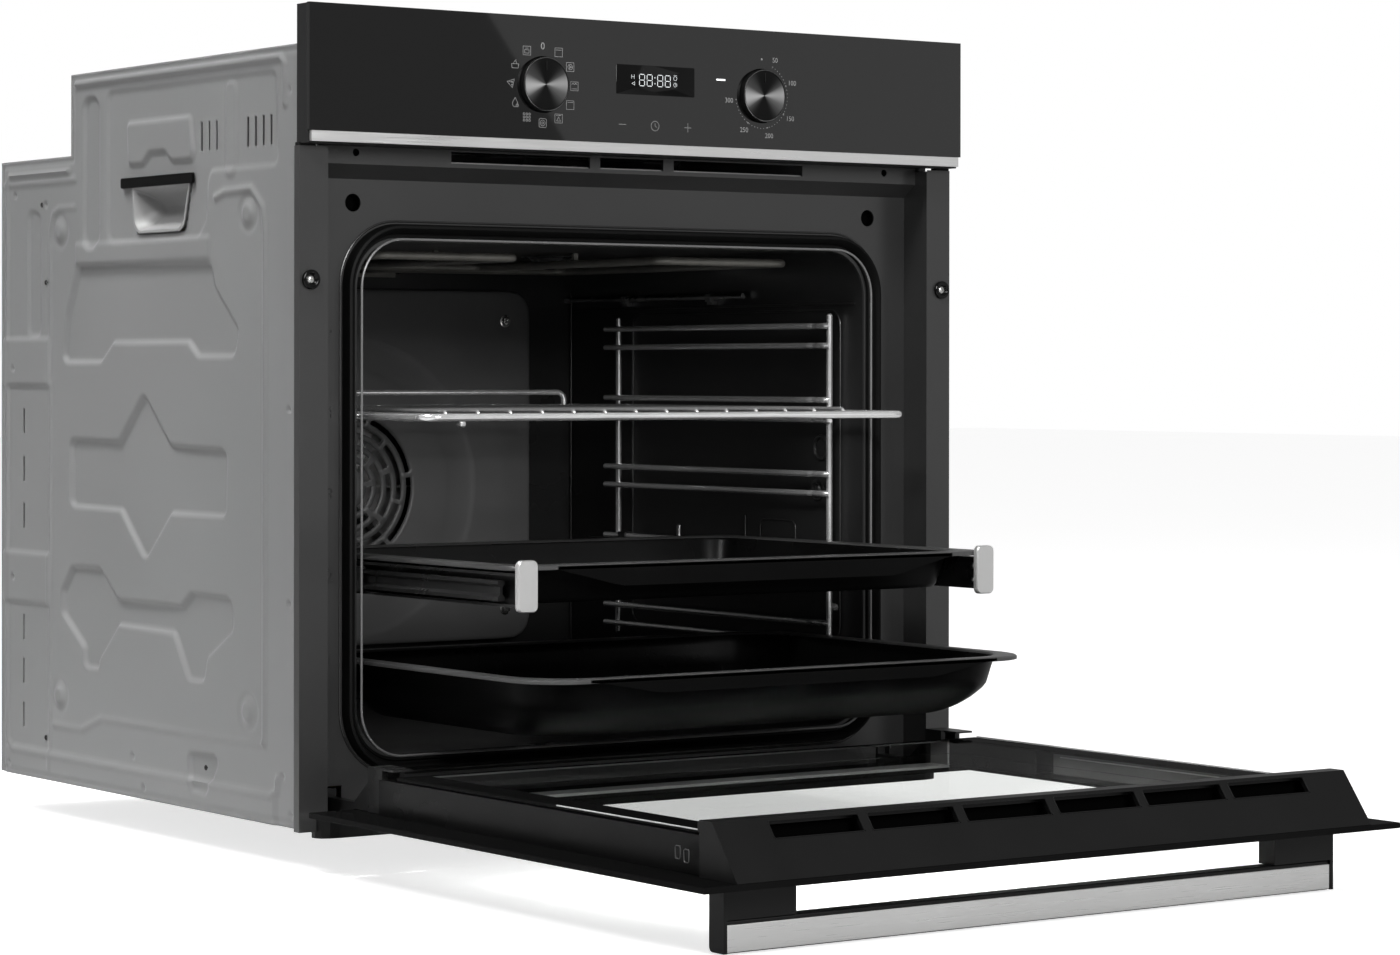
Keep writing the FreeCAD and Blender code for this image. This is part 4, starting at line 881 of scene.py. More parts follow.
# touch marks
st(-29.1, 511, [(-3.2, 0), (3.2, 0)])
st(30.8, 510.6, [(-3.2, 0), (3.2, 0)])
st(30.8, 510.6, [(0, -3.3), (0, 3.3)])
st(0.6, 510.8, circle(0, 0, 3.6, 28), True)
st(0.6, 510.8, [(0, 2.2), (0, 0), (1.6, -1.0)])
ic.make("panel_marks", "oven", ["print"], slot="black_glass")
text("mark_off", "0", *at(0), 7.4, y=-0.04, mat="print", thick=0.1)
for t, x, z in (("50", 113, 565), ("100", 129.4, 548.2), ("150", 127.5, 520.9), ("200", 107.4, 507.2), ("250", 83.6, 510.9), ("300", 69.3, 532.7)):
    text("mark_" + t, t, x, z, 5.3, y=-0.04, mat="print", thick=0.1)
w = B()
w.loops([[(x, y, z) for x, z in rr(-34.8 + o, 533.5 + o, 36.9 - o, 555.6 - o, 0.8, 4)] for y, o in ((0.03, 0.0), (-0.10, 0.0), (-0.18, 0.15))], True, True)
w.make("display_window", "oven", ["window_black"], slot="black_glass")
w = B()
SEG = {"a": ((-1, 1), (1, 1)), "g": ((-1, 0), (1, 0)), "d": ((-1, -1), (1, -1)), "f": ((-1, 1), (-1, 0)), "b": ((1, 1), (1, 0)), "e": ((-1, 0), (-1, -1)), "c": ((1, 0), (1, -1))}
for cx in (-11.5, -4.5, 5.1, 12.1):
    for (x0, z0), (x1, z1) in SEG.values():
        a, q = Vector((cx + x0 * 2.35, 544.6 + z0 * 4.25)), Vector((cx + x1 * 2.35, 544.6 + z1 * 4.25))
        d = (q - a).normalized()
        n2 = Vector((-d.y, d.x)) * 0.24
        a, q = a + d * 0.3, q - d * 0.3
        w.prism("y", [tuple(a), tuple(a + d * 0.36 + n2), tuple(q - d * 0.36 + n2), tuple(q), tuple(q - d * 0.36 - n2), tuple(a + d * 0.36 - n2)], -0.26, -0.17)
for z in (546.8, 542.4):
    w.box(-0.05, 0.65, -0.26, -0.17, z - 0.38, z + 0.38)
ribbon(w, [(-21.0, 548.3), (-21.0, 545.3)], 0.22, -0.26, -0.17)
ribbon(w, [(-21.0, 546.8), (-18.8, 546.8)], 0.22, -0.26, -0.17)
ribbon(w, [(-18.6, 545.2), (-18.6, 548.4)], 0.22, -0.26, -0.17)
ribbon(w, [(-20.8, 541.8), (-18.2, 543.1), (-18.2, 540.5)], 0.22, -0.26, -0.17, True)
ribbon(w, circle(19.0, 547.0, 1.5, 16), 0.22, -0.26, -0.17, True)
ribbon(w, [(17.6, 549.2), (20.4, 549.2)], 0.22, -0.26, -0.17)
ribbon(w, circle(19.0, 542.2, 1.5, 16), 0.22, -0.26, -0.17, True)
ribbon(w, [(19.0, 543.2), (19.0, 542.2), (19.8, 541.9)], 0.22, -0.26, -0.17)
w.make("display_figures", "oven", ["digit"], slot="black_glass")
w = B()
w.prism("y", rr(57.3, 547.4, 65.8, 548.6, 0.5, 4), -0.12, 0.02)
w.make("status_light", "oven", ["led"], slot="black_glass")

# ------------------------------------------------------------------ knobs
for nm, kx in (("function", -100.0), ("thermostat", 100.0)):
    k = B()
    o = (kx, 0, 537.4)
    k.lathe([(17.0, 13.9), (19.4, 13.9), (20.0, 13.3), (20.0, -4.1)], o, n=96, mi=0, cap0=True)
    k.lathe([(20.0, -4.1), (19.85, -4.6), (19.5, -5.0)], o, n=96, mi=0)
    k.lathe([(19.5, -5.0), (19.2, -5.17)], o, n=96, mi=1)
    k.lathe([(19.2, -5.17), (18.9, -5.17), (18.7, -4.95), (18.6, -4.7)], o, n=96, mi=0)
    k.lathe([(18.6, -4.7), (18.3, -4.72), (14, -4.5), (10, -4.33), (6, -4.16), (2, -3.99), (0.25, -3.9)], o, n=96, mi=2, cap1=True)
    ribbon(k, [(kx, 547.6), (kx, 554.6)], 0.75, -4.86, -4.2, mi=3)
    k.make(nm + "_knob_turned", nm + "_knob_body", ["plastic", "edge_light", "dial", "window_black"], (nm + "_knob",), angle=28, slot="knob", recalc=True)

# ------------------------------------------------------------------ fan cover: pressed plate with ring slots
FX, FZ = 0.0, 229.0
NA = 180


def out_rect(a, inset=0.0):
    x0, x1, z0, z1, r = -184 + inset, 184 - inset, 96 + inset, 397 - inset, 20 - inset
    lo, hi = 20.0, 400.0
    ca, sa = math.cos(a), math.sin(a)
    for _ in range(30):
        m = (lo + hi) / 2
        x, z = FX + m * ca, FZ + m * sa
        dx, dz = max(x0 + r - x, x - (x1 - r)), max(z0 + r - z, z - (z1 - r))
        d = math.hypot(max(dx, 0), max(dz, 0)) - r + min(max(dx, dz), 0)
        if d > 0:
            hi = m
        else:
            lo = m
    return (lo + hi) / 2


RAD = [(4, 443.3), (11, 443.3), (17.6, 443.5), (22.4, 443.5), (27.6, 443.5), (32.4, 443.5), (37.6, 443.5), (42.4, 443.5), (47.6, 443.5), (52.4, 443.5),
       (57.6, 443.5), (62.4, 443.5), (66, 443.3), (84, 443.1), (96, 443.1), (100, 443.7), (104, 444.2), (121, 444.2), (124.5, 443.8), (127, 443.3), (129, 443.3)]
SLOTRING = {(17.6, 22.4): (10, 90), (27.6, 32.4): (45, 90), (37.6, 42.4): (20, 60), (47.6, 52.4): (46, 60), (57.6, 62.4): (10, 60)}
fcv = B()
rows = []
for r, y in RAD:
    rows.append([(FX + r * math.cos(2 * math.pi * k / NA), y, FZ + r * math.sin(2 * math.pi * k / NA)) for k in range(NA)])
for ins, y in ((4.0, 443.3), (1.2, 443.35), (0.35, 443.9), (0.0, 445.0), (0.0, 451.7)):
    row = []
    for k in range(NA):
        a = 2 * math.pi * k / NA
        r = out_rect(a, ins)
        row.append((FX + r * math.cos(a), y, FZ + r * math.sin(a)))
    rows.append(row)
vv = [p for row in rows for p in row]
ff = []
for j in range(len(rows) - 1):
    key = (RAD[j][0], RAD[j + 1][0]) if j + 1 < len(RAD) else None
    for k in range(NA):
        if key in SLOTRING:
            off, step = SLOTRING[key]
            ang = (k + 0.5) * 360 / NA
            half = math.degrees(2.2 / ((key[0] + key[1]) / 2))
            dlt = abs((ang - off + step / 2) % step - step / 2)
            if dlt > half:
                continue
        k2 = (k + 1) % NA
        ff.append((j * NA + k, j * NA + k2, (j + 1) * NA + k2, (j + 1) * NA + k))
ff.append(tuple(range(NA)))
fcv.add(vv, ff)
o = fcv.make("fan_cover_pressed", "oven", ["cover"], ("fan_cover",), angle=50, slot="fan", weld=False)
sd_ = o.modifiers.new("sheet", "SOLIDIFY")
sd_.thickness, sd_.offset = 0.0011, -1.0
sc = B()
for x, z in ((158, 371), (-158, 371), (158, 122), (-158, 122)):
    sc.lathe([(5.2, 0.3), (5.2, -0.4), (3.9, -0.7), (3.8, -2.0), (3.2, -2.9), (1.6, -3.1), (0.6, -3.0), (0.5, -1.6)], (x, 443.1, z), "y", 20, 0, cap1=True)
sc.lathe([(4.2, 0.6), (4.2, -0.4), (3.0, -1.5), (1.4, -1.8), (0.5, -0.8)], (48, 440.8, 414), "y", 18, 0, cap1=True)
sc.make("cavity_screws", "oven", ["screw"], slot="fan")

# ------------------------------------------------------------------ cavity walls: pressed lines, embosses, nuts
wb = B()
wb.tube(bend([(232.8, 71, 112), (232.8, 71, 376.6), (232.8, 357, 376.6), (232.8, 357, 112)], 12, 8, True), 0.8, 8, True)
wb.tube([(232.7, 52, 381.5), (232.7, 300, 381.5), (232.7, 440, 381.5)], 0.8, 8)
wb.tube([(232.7, y, z) for y, z in circle(94.7, 266.8, 9.0, 28)], 1.6, 10, True)
wb.tube(bend([(232.8, 129, 150), (232.8, 129, 207), (232.8, 176, 207), (232.8, 176, 150)], 6, 6, True), 0.8, 8, True)
wb.tube([(232.8, 196.5, 150), (232.8, 196.5, 209)], 0.9, 8)
wb.tube([(232.2, 450.4, 60), (232.2, 450.4, 410)], 0.9, 8)
wb.both()
wb.tube(bend([(-190, 90, 424.6), (190, 90, 424.6), (190, 400, 424.6), (-190, 400, 424.6)], 26, 8, True), 1.0, 8, True)
wb.tube(bend([(-180, 90, 47.4), (180, 90, 47.4), (180, 400, 47.4), (-180, 400, 47.4)], 26, 8, True), 1.0, 8, True)
wb.make("cavity_beads", "oven", ["cavity"], slot="black_enamel")
wn_ = B()
wn_.lathe([(8.6, 0.2), (8.6, -1.0), (7.4, -1.6), (6.0, -1.4), (5.2, -2.6), (3.2, -3.6), (1.2, -3.8), (0.9, -2.6)], (233, 99.8, 232.6), "x", 28, 0, cap1=True)
wn_.both()
wn_.make("wall_nuts", "oven", ["frame_edge"], slot="wire")

# ------------------------------------------------------------------ wire side racks
for nm, sg in (("right", 1), ("left", -1)):
    r_ = B()
    for z in (364, 348.3, 305, 289.2, 246, 230.4, 187, 171.3, 127.5, 111.8):
        pts = bend([(223.4, 73.4, z), (221.0, 76.5, z), (221, 84, z), (222.9, 87.5, z), (222.9, 92.5, z), (221, 96, z), (221, 240, z), (221, 361, z), (221, 381, z)], 3.0, 3)
        r_.tube(pts, 2.5, 12)
    for y in (75.5, 368):
        r_.tube([(225.6, y, 103.2), (225.6, y, 104.4), (225.6, y, 373), (225.6, y, 373.8)], [1.6, 2.5, 2.5, 1.6], 12)
        for z in (140,):
            r_.tube([(225.6, y, z), (232.8, y, z)], 3.0, 12)
    if sg < 0:
        r_ = r_.mirror()
    r_.make("side_rack_wires_" + nm, "oven", ["chrome"], ("side_rack_" + nm,), slot="wire")
sp = B()
for sg in (1, -1):
    for y in (274,):
        sp.tube([(sg * 221.5, y, 188.5), (sg * 221.5, y, 198.5), (sg * 221.5, y, 199.6)], [1.9, 1.9, 1.0], 10)
sp.make("rail_stops", "oven", ["chrome_dark"], slot="rail")

# ------------------------------------------------------------------ wire rack
ZW = 294.8
k = B()
k.tube(bend([(-188, 342, ZW), (-217.4, 342, ZW), (-217.4, -28.6, ZW), (217.4, -28.6, ZW), (217.4, 342, ZW), (188, 342, ZW)], 12, 8), 3.0, 14)
k.tube([(-203, 342, ZW), (203, 342, ZW)], 2.6, 12)
k.tube([(-217, 4, ZW - 1), (217, 4, ZW - 1)], 2.4, 12)
for i in range(14):
    x = -182.2 + 28.03 * i
    k.tube(bend([(x, 3.4, ZW - 1.6), (x, 3.4, ZW + 4.1), (x, 341.2, ZW + 4.1), (x, 341.2, ZW - 0.5)], 2.2, 5), 1.5, 10)
    for y in (3.6, 341.6):
        k.lathe([(0.3, -2.6), (2.3, -1.6), (2.6, 0.0), (2.3, 1.6), (0.3, 2.6)], (x, y, ZW + 0.6), "z", 10, 0, True, True)
k.tube(bend([(-152, 344, ZW + 0.5), (-152, 344, ZW + 15.2), (152, 344, ZW + 15.2), (152, 344, ZW + 0.5)], 9, 7), 2.4, 12)
for sg in (-1, 1):
    k.tube([(sg * 168, 0.6, ZW - 5.3), (sg * 168, 1.6, ZW - 5.3), (sg * 168, 7, ZW - 5.3), (sg * 168, 8, ZW - 5.3)], [1.4, 2.4, 2.4, 1.4], 12)
    k.tube([(sg * 168, 4, ZW - 5.3), (sg * 168, 4, ZW - 1)], 1.9, 10)
k.make("wire_rack_wires", "wire_rack_body", ["chrome"], ("wire_rack",), slot="wire")


# ------------------------------------------------------------------ trays
def rloop(x, yf, yr, z, r, n=9):
    return [(a, b_, z) for a, b_ in rr(-x, yf, x, yr, r, n)]


def pan(name, body, node, inner, rim, outer, lip, lip_y, slot):
    b = B()
    b.loops([rloop(*q) for q in inner], True, False, 0)
    b.loops([rloop(*q) for q in [inner[-1]] + rim + [outer[0]]], mi=1)
    b.loops([rloop(*q) for q in outer], False, True, 2)
    b.prism("y", lip, lip_y, lip_y + 1.0, 2)
    return b.make(name, body, ["tray", "rim", "tray_out"], (node,), angle=40, slot=slot)


pan("shallow_tray_pressed", "tray_carriage", "shallow_tray",
    [(183.0, -104.5, 166.5, 167.0, 14), (186.6, -108.1, 170.1, 167.3, 16.5), (188.4, -109.8, 171.8, 168.4, 17.8), (189.5, -110.7, 172.7, 170.6, 18.6),
     (195.4, -115.6, 177.6, 190.9, 22.8), (196.4, -116.5, 178.5, 192.7, 23.8)],
    [(198.0, -118.1, 180.1, 193.7, 25.2), (200.5, -120.6, 182.6, 193.95, 25.5), (211.6, -131.6, 193.6, 193.97, 13.4), (213.3, -133.3, 195.3, 193.6, 13.6), (214, -134, 196, 192.6, 14), (214, -134, 196, 190.7, 14),
     (213.3, -133.3, 195.3, 190.5, 13.4), (212.9, -132.9, 194.9, 192.4, 13), (200.6, -120.6, 182.6, 192.8, 25.8)],
    [(197.9, -117.9, 179.9, 191.8, 24.8), (196.6, -116.8, 178.8, 188.5, 24), (190.4, -111.2, 173.2, 169.4, 19.4), (188.6, -109.4, 171.4, 166.8, 18), (185.5, -106.5, 168.5, 166.0, 15.5)],
    [(-177, 190.8), (-171, 189.6), (-128, 179.2), (-120, 178), (120, 178), (128, 179.2), (171, 189.6), (177, 190.8), (177, 193), (-177, 193)], -134.0, "black_enamel")
R0, R1 = -180.0, 145.0
SEC = [(118, 11, 211, 11, 44), (110, 12.2, 209.6, 12.4, 43.6), (103, 13.6, 207.8, 14, 43), (97, 15, 206, 16, 42), (93.5, 18, 204.4, 17.8, 41), (90, 22, 202, 20, 40), (86.5, 27, 200.2, 22, 39), (83.5, 32, 198, 24, 38),
       (80.5, 37.6, 195.8, 26.6, 37), (78, 43, 193, 29, 36), (75.6, 49.5, 189.8, 32.2, 35), (74.1, 55, 187, 35, 34)]
inn = [(x - 1.3, R0 + f + 1.3, R1 - g - 1.3, z + 1.2 * (118 - z) / 44.0, r - 1.3) for z, f, x, g, r in SEC][::-1]
inn = [(inn[0][0] - 7, inn[0][1] + 7, inn[0][2] - 7, 75.2, 28)] + inn[:-1] + [(209.9, R0 + 12.1, R1 - 12.1, 116.8, 43)]
pan("deep_pan_pressed", "deep_pan_body", "deep_pan", inn,
    [(211.2, R0 + 10.8, R1 - 10.8, 118.0, 44.2), (213.4, R0 + 8.6, R1 - 8.6, 118.42, 45), (219.6, R0 + 2.4, R1 - 2.4, 118.46, 40.4), (221.3, R0 + 0.7, R1 - 0.7, 118.1, 40), (222, R0, R1, 117.2, 40), (222, R0, R1, 115.2, 40),
     (221.2, R0 + 0.8, R1 - 0.8, 115.0, 39.4), (220.9, R0 + 1.1, R1 - 1.1, 117.0, 39), (213.2, R0 + 8.8, R1 - 8.8, 117.3, 44.6)],
    [(211.6, R0 + 10.4, R1 - 10.4, 116.6, 44.2)] + [(x, R0 + f, R1 - g, z, r) for z, f, x, g, r in SEC[1:]] + [(180, R0 + 62, R1 - 42, 74.0, 28)],
    [(-181, 115.6), (-170, 115), (-128, 107.4), (-120, 106.5), (120, 106.5), (128, 107.4), (170, 115), (181, 115.6), (181, 117.6), (-181, 117.6)], R0, "black_enamel")

# ------------------------------------------------------------------ rail end caps and rivets
k = B()
for y0, y1, i0, i1 in ((-139.2, -138.4, 0.8, 0.15), (-138.4, -137.8, 0.15, 0.0), (-137.8, -135.0, 0.0, 0.0)):
    k.loops([[(x, y0, z) for x, z in rr(196.8 + i0, 162 + i0, 213.3 - i0, 198 - i0, 4.2 - i0, 6)], [(x, y1, z) for x, z in rr(196.8 + i1, 162 + i1, 213.3 - i1, 198 - i1, 4.2 - i1, 6)]], i0 == 0.8, y1 == -135.0)
k.both().make("rail_cap_plates", "tray_carriage", ["cap"], ("rail_end_caps",), slot="brushed")
k = B()
for y, z in ((-126, 182.5), (-126, 171.5), (20, 177), (190, 177)):
    k.lathe([(2.6, 0.2), (2.6, -0.3), (1.9, -0.9), (0.6, -1.2)], (203, y, z), "x", 16, 0, cap1=True)
k.both().make("rail_rivets", "tray_carriage", ["chrome_dark"], slot="rail")

# ------------------------------------------------------------------ front frame: level figures, bush screws, opening lip
for t, z in (("5", 357.2), ("4", 298.0), ("3", 239.0), ("2", 180.0), ("1", 120.5)):
    text("level_" + t, t, -256.0, z, 12.5, y=41.7, mat="emboss", thick=0.7)
k = B()
for sg in (-1, 1):
    k.lathe([(7.0, 2.2), (7.0, 0.5), (6.4, 0.05), (5.2, 0.0), (4.4, 0.3), (3.4, 1.2), (3.0, 2.4)], (sg * 288.8, 10.95, 392.4), "y", 32, 0, cap1=True)
    k.lathe([(2.9, 2.3), (2.9, 1.5), (2.2, 0.9), (0.8, 0.7), (0.5, 1.4)], (sg * 288.8, 10.95, 392.4), "y", 20, 1, cap1=True)
k.make("bush_rings", "oven", ["bush", "screw"], ("fixing_bushes",), slot="black_plastic")
k = B()
cs = rr(-240.8, 42.6, 240.8, 429.6, 41, 12)
prof = [(-5.2, 41.6), (-4.6, 39.6), (-3.2, 39.2), (-2.2, 40.2), (-0.6, 36.0), (1.6, 32.8), (3.4, 33.4), (4.4, 36.6), (5.0, 41.6)]
ls = []
for off, y in prof:
    ls.append([(x, y, z) for x, z in rr(-240.8 - off, 42.6 - off, 240.8 + off, 429.6 + off, 41 + off, 12)])
k.loops(ls)
k.loops([ls[-1], ls[0]])
k.make("door_gasket_tube", "oven", ["rubber"], ("door_gasket",), slot="seal")
k = B()
k.tube([(x, 41.7, z) for x, z in rr(-247.6, 35.8, 247.6, 436.4, 47, 12)], 0.9, 8, True)
k.make("frame_beads", "oven", ["frame_edge"], slot="black_enamel")
# rolled rim round the cavity opening, real in shape; its grey colour is a painted highlight along the edge
k = B()
k.tube([(x, 33.6, z) for x, z in rr(-234.2, 49.2, 234.2, 423.2, 35, 12)], 0.9, 8, True)
k.make("opening_edge", "oven", ["edge_grey"], slot="black_enamel")
k = B()
k.lathe([(17.4, 423.8), (17.9, 421.6), (19.4, 421.0), (22.6, 421.5), (24.0, 423.9)], (101, 290, 0), "z", 40, 1)
k.tube([(101 + 13.2 * math.cos(math.radians(6 * t)), 290 + 13.2 * math.sin(math.radians(6 * t)), 417.6) for t in range(60)], 0.55, 8, True, 0)
k.tube([(101 + 7.0 * math.cos(math.radians(6 * t)), 290 + 7.0 * math.sin(math.radians(6 * t)), 414.2) for t in range(60)], 0.5, 8, True, 0)
k.make("lamp_rim", "oven", ["chrome_dark", "frame_edge"], slot="lens")

k = B()
k.box(284.0, 297.3, 13.9, 20.6, 486.6, 489.5)
k.both().make("column_foam_strips", "oven", ["rubber"], (), 0.5, 3, slot="seal")
# black cups in the stop holes of the front frame: painted shade inside the holes
k = B()
k.lathe([(6.3, 43.05), (6.3, 48.6), (5.4, 49.8), (0.6, 50.2)], (236.9, 0, 449), "y", 28, 0, cap1=True)
k.both().make("stop_hole_shade_cups", "oven", ["void"], slot="black_plastic")

# ------------------------------------------------------------------ door: printed border on the outer pane, plate on the handle
k = B()
z0, z1, e = 13.8, 17.8, 0.5
oo = [(-297.5, -467.9), (297.5, -467.9), (297.5, 0.0), (-297.5, 0.0)]
ow = [(-241, -424), (241, -424), (241, -78), (-241, -78)]
oi = [(-297.0, -467.4), (297.0, -467.4), (297.0, -0.5), (-297.0, -0.5)]
lp3 = lambda pts, z: [(x, y, z) for x, y in pts]
k.loops([lp3(ow, z1), lp3(oi, z1), lp3(oo, z1 - e), lp3(oo, z0 + e), lp3(oi, z0), lp3(ow, z0)], mi=0)
k.add(lp3(ow, z1), [(0, 1, 2, 3)], 1)
k.add(lp3(ow, z0), [(3, 2, 1, 0)], 1)
k.make("door_outer_pane", "door", ["door_black", "pane"], ("door_outer_glass",), slot="door_glass")
k = B()
z0, z1 = 42.7, 45.6
oo = [(-262, -424.6), (262, -424.6), (262, -60), (-262, -60)]
oi = [(-261.4, -424.0), (261.4, -424.0), (261.4, -60.6), (-261.4, -60.6)]
ow = [(-238, -420), (238, -420), (238, -66), (-238, -66)]
k.loops([lp3(ow, z1), lp3(oi, z1), lp3(oo, z1 - 0.6), lp3(oo, z0 + 0.6), lp3(oi, z0), lp3(ow, z0)], mi=0)
k.add(lp3(ow, z1), [(0, 1, 2, 3)], 1)
k.add(lp3(ow, z0), [(3, 2, 1, 0)], 1)
k.make("door_inner_pane", "door", ["door_black", "pane"], ("door_inner_glass",), slot="door_glass")
k = B()
k.box(-258.5, 258.5, -438.9, -438.1, -28.2, -11.3)
k.make("handle_face", "door", ["brushed"], ("handle_plate",), 0.35, 2, slot="brushed")
k = B()
k.box(-258.6, 258.6, -438.0, -426.0, -29.0, -8.5)
k.make("handle_core", "door", ["plastic"], ("handle_bar",), 1.2, 3, slot="black_plastic")
# thin pale grey tubes along the black door profiles: painted highlight lines
k = B()
k.tube([(-265.4, -427, 45.9), (-265.4, -263, 45.9)], 0.5, 8)
k.tube([(262.2, -400, 46.0), (262.2, -62, 46.0)], 0.45, 8)
k.tube([(262.6, -420, 35.5), (262.6, -158, 35.5)], 0.45, 8)
k.make("profile_lines", "door", ["line_light"], slot="black_plastic")
k = B()
k.box(262.7, 263.45, -424, -64, 19.7, 40.8)
k.both().make("profile_liners", "door", ["profile_in"], (), 0.2, 2, slot="black_plastic")
k = B()
for y, z in ((-405.0, 31.0), (-414.0, 29.5)):
    k.tube(bend([(-271.0, y + 2.6, z + 4.0), (-271.0, y - 2.6, z + 4.0), (-271.0, y - 2.6, z - 4.0), (-271.0, y + 2.6, z - 4.0)], 1.2, 4, True), 0.55, 6, True)
k.both().make("trim_end_marks", "door", ["frame_edge"], slot="black_plastic")
k = B()
for i in range(6):
    a = -233 + 77.667 * i + 3
    b_ = a + 71.667
    k.tube(bend([(a + 0.4, -448.8, 40.9), (b_ - 0.4, -448.8, 40.9), (b_ - 0.4, -441.4, 50.9), (a + 0.4, -441.4, 50.9)], 1.5, 4, True), 0.5, 6, True)
k.make("vent_slot_lips", "door", ["plastic"], slot="black_plastic")
# black sheet behind the vent slots of the door trim: painted shade in the slots
k = B()
k.loops([[(x, y, z) for y, z in ((-430.3, 47.2), (-431.1, 47.6), (-431.1, 19.8), (-457.2, 19.8), (-457.6, 18.8), (-430.3, 18.8))] for x in (-266.5, 266.5)], True, True, 0)
k.make("vent_slot_shade_sheet", "door", ["void"], (), 0.2, 2, slot="black_plastic")

# =====================================================================================================================
# studio
# =====================================================================================================================
floor_z = -30.2
fl = B()
fl.add([(-14000, -12000, floor_z), (14000, -12000, floor_z), (14000, 16000, floor_z), (-14000, 16000, floor_z)], [(0, 1, 2, 3)])
me = bpy.data.meshes.new("floor")
me.from_pydata([P(*v) for v in fl.v], [], fl.f)
fo = bpy.data.objects.new("floor", me)
bpy.context.scene.collection.objects.link(fo)
fm = surface("pale_floor", (0.55, 0.55, 0.55), 0.7, 0.0, 0.01, 0.03, 1.2, 40, 0.0, spec=0.05)
# seen directly the floor is a lit sweep that runs into the white background; for bounce light it is plain pale grey
fnt = fm.node_tree


def through(nt, lp_):
    """1 for rays that have only passed through panes, without a mirror bounce."""
    lt = nt.nodes.new("ShaderNodeMath")
    lt.operation = "LESS_THAN"
    lt.inputs[1].default_value = 0.5
    nt.links.new(lp_.outputs["Glossy Depth"], lt.inputs[0])
    ld = nt.nodes.new("ShaderNodeMath")
    ld.operation = "LESS_THAN"
    ld.inputs[1].default_value = 0.5
    nt.links.new(lp_.outputs["Diffuse Depth"], ld.inputs[0])
    m1 = nt.nodes.new("ShaderNodeMath")
    m1.operation = "MULTIPLY"
    nt.links.new(lt.outputs[0], m1.inputs[0])
    nt.links.new(ld.outputs[0], m1.inputs[1])
    m2_ = nt.nodes.new("ShaderNodeMath")
    m2_.operation = "MULTIPLY"
    nt.links.new(m1.outputs[0], m2_.inputs[0])
    nt.links.new(lp_.outputs["Is Transmission Ray"], m2_.inputs[1])
    return m2_.outputs[0]


fb = fnt.nodes["Principled BSDF"]
flp = fnt.nodes.new("ShaderNodeLightPath")
fmu = fnt.nodes.new("ShaderNodeMath")
fmu.operation = "MULTIPLY"
fmu.inputs[1].default_value = 0.74
fmx = fnt.nodes.new("ShaderNodeMath")
fmx.operation = "MAXIMUM"
fnt.links.new(flp.outputs["Is Camera Ray"], fmx.inputs[0])
fnt.links.new(through(fnt, flp), fmx.inputs[1])
fnt.links.new(fmx.outputs[0], fmu.inputs[0])
fb.inputs["Emission Color"].default_value = (1, 1, 1, 1)
fnt.links.new(fmu.outputs[0], fb.inputs["Emission Strength"])
me.materials.append(fm)

world = bpy.data.worlds.new("studio")
bpy.context.scene.world = world
world.use_nodes = True
wn = world.node_tree
bg = wn.nodes["Background"]
lp = wn.nodes.new("ShaderNodeLightPath")
mx = wn.nodes.new("ShaderNodeMix")
mx.data_type = "RGBA"
mx.inputs["A"].default_value = (0.37, 0.37, 0.37, 1)
mx.inputs["B"].default_value = (1.0, 1.0, 1.0, 1)
m2 = wn.nodes.new("ShaderNodeMix")
m2.data_type = "RGBA"
m2.inputs["B"].default_value = (0.35, 0.35, 0.35, 1)
wmx = wn.nodes.new("ShaderNodeMath")
wmx.operation = "MAXIMUM"
wn.links.new(lp.outputs["Is Camera Ray"], wmx.inputs[0])
wn.links.new(through(wn, lp), wmx.inputs[1])
wn.links.new(wmx.outputs[0], mx.inputs["Factor"])
wn.links.new(mx.outputs["Result"], m2.inputs["A"])
wn.links.new(lp.outputs["Is Glossy Ray"], m2.inputs["Factor"])
wn.links.new(m2.outputs["Result"], bg.inputs["Color"])
bg.inputs["Strength"].default_value = 1.0


def area(name, loc, target, size, power, size_y=None, roll=0.0, spread=180):
    l = bpy.data.lights.new(name, "AREA")
    l.shape = "RECTANGLE"
    l.size, l.size_y = size, size_y or size
    l.energy = power
    l.spread = math.radians(spread)
    o = bpy.data.objects.new(name, l)
    bpy.context.scene.collection.objects.link(o)
    o.location = Vector(loc)
    q = (Vector(target) - Vector(loc)).to_track_quat("-Z", "Y")
    o.rotation_mode = "QUATERNION"
    o.rotation_quaternion = q @ Matrix.Rotation(math.radians(roll), 4, "Z").to_quaternion()
    return o


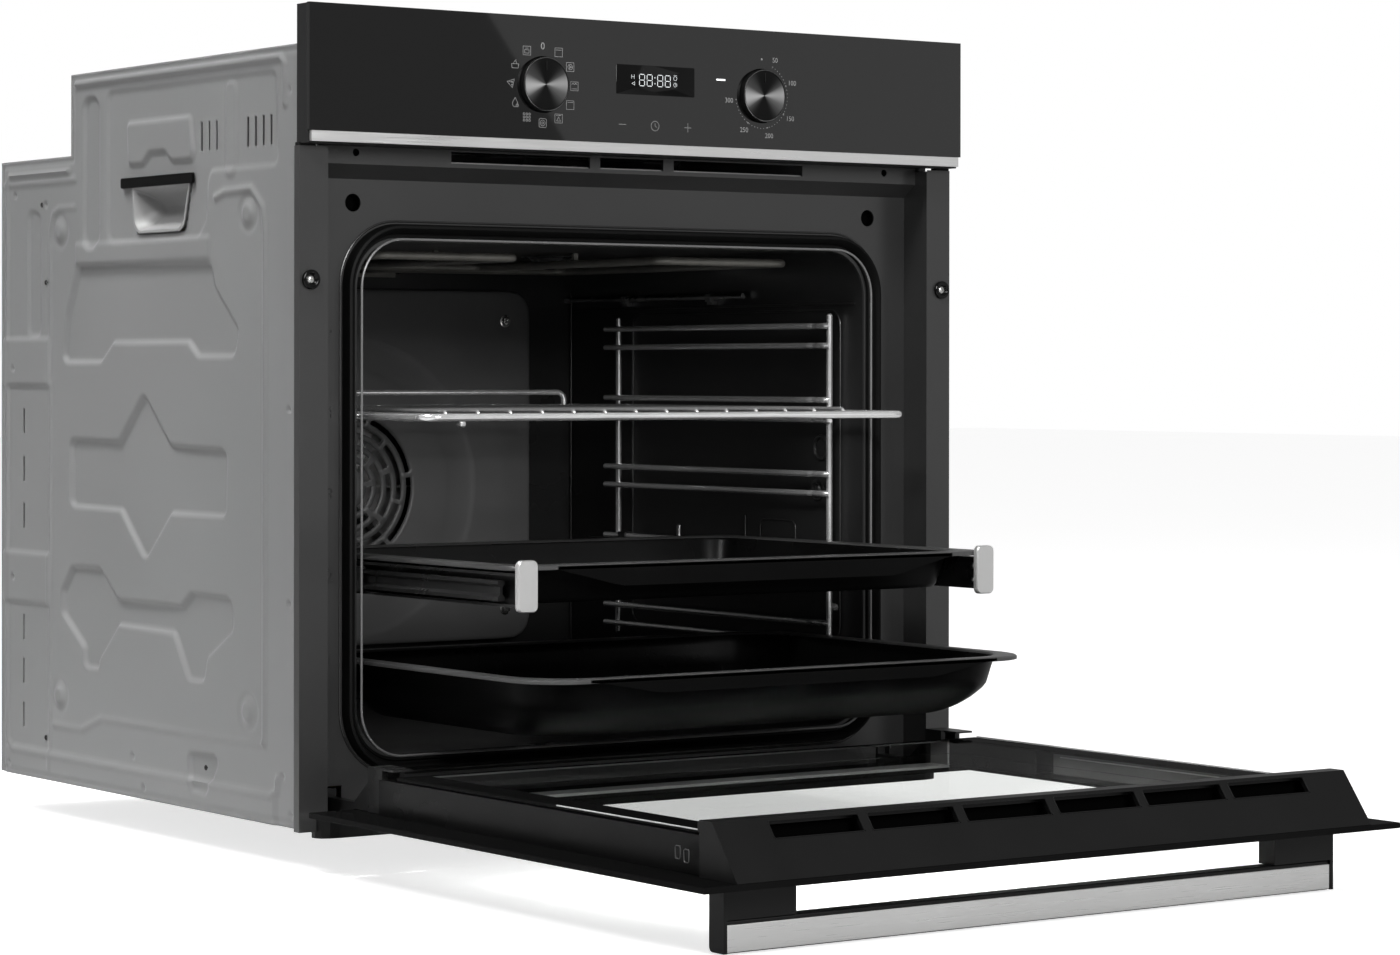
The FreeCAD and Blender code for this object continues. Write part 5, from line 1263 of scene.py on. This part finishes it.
area("key_left", (-2.6, -1.5, 3.1), (-0.2, 0, 0.25), 0.9, 104)
area("front_fill", (-0.35, -2.95, 1.25), (-0.05, 0.1, 0.28), 0.9, 47)
# high soft box over the left side: rakes down the sheet, so that the pressings show
area("side_rake", (-1.45, 0.12, 3.2), (-0.30, 0.06, 0.22), 0.7, 3.9, spread=26)
area("top_back", (0.6, 1.8, 2.8), (0, -0.1, 0.2), 1.4, 26)
# large soft panel in front on the right, turned 46 degrees: its edge shows in the control panel's glass
l = bpy.data.lights.new("soft_panel", "AREA")
l.shape = "RECTANGLE"
l.size, l.size_y = 1.3, 2.0
l.energy = 0.50 * math.pi * 1.3 * 2.0
o = bpy.data.objects.new("soft_panel", l)
bpy.context.scene.collection.objects.link(o)
nx_, nz_ = 0.7994, 0.6008
c_ = Vector((1.624, -3.0, 0.894)) + Vector((nx_, 0, nz_)) * 0.65 + Vector((nz_, 0, -nx_)) * 0.45
o.matrix_world = Matrix.Translation(c_) @ Matrix(((nx_, -nz_, 0), (0, 0, -1), (nz_, nx_, 0))).to_4x4()

cd = bpy.data.cameras.new("camera")
cam = bpy.data.objects.new("camera", cd)
bpy.context.scene.collection.objects.link(cam)
bpy.context.scene.camera = cam
a, b_, r_ = math.radians(34.351), math.radians(-0.1116), math.radians(0.0592)
fwd = Vector((math.sin(a) * math.cos(b_), math.cos(a) * math.cos(b_), math.sin(b_)))
right0 = Vector((math.cos(a), -math.sin(a), 0))
up0 = right0.cross(fwd)
right = right0 * math.cos(r_) + up0 * math.sin(r_)
up = -right0 * math.sin(r_) + up0 * math.cos(r_)
cam.matrix_world = Matrix.Translation(Vector((-1.6396, -2.5681, 0.328))) @ Matrix((right, up, -fwd)).transposed().to_4x4()
cd.sensor_fit = "HORIZONTAL"
cd.sensor_width = 36.0
cd.lens = 36.0 * 3776.63 / 1400.0
cd.shift_x = (700.0 - 574.088) / 1400.0
cd.shift_y = -(477.5 - 378.316) / 1400.0
cd.clip_start, cd.clip_end = 0.05, 60.0
cd.dof.use_dof = False

vs = bpy.context.scene.view_settings
vs.view_transform = "Standard"
vs.look = "None"
vs.exposure = 0.0
vs.gamma = 1.0
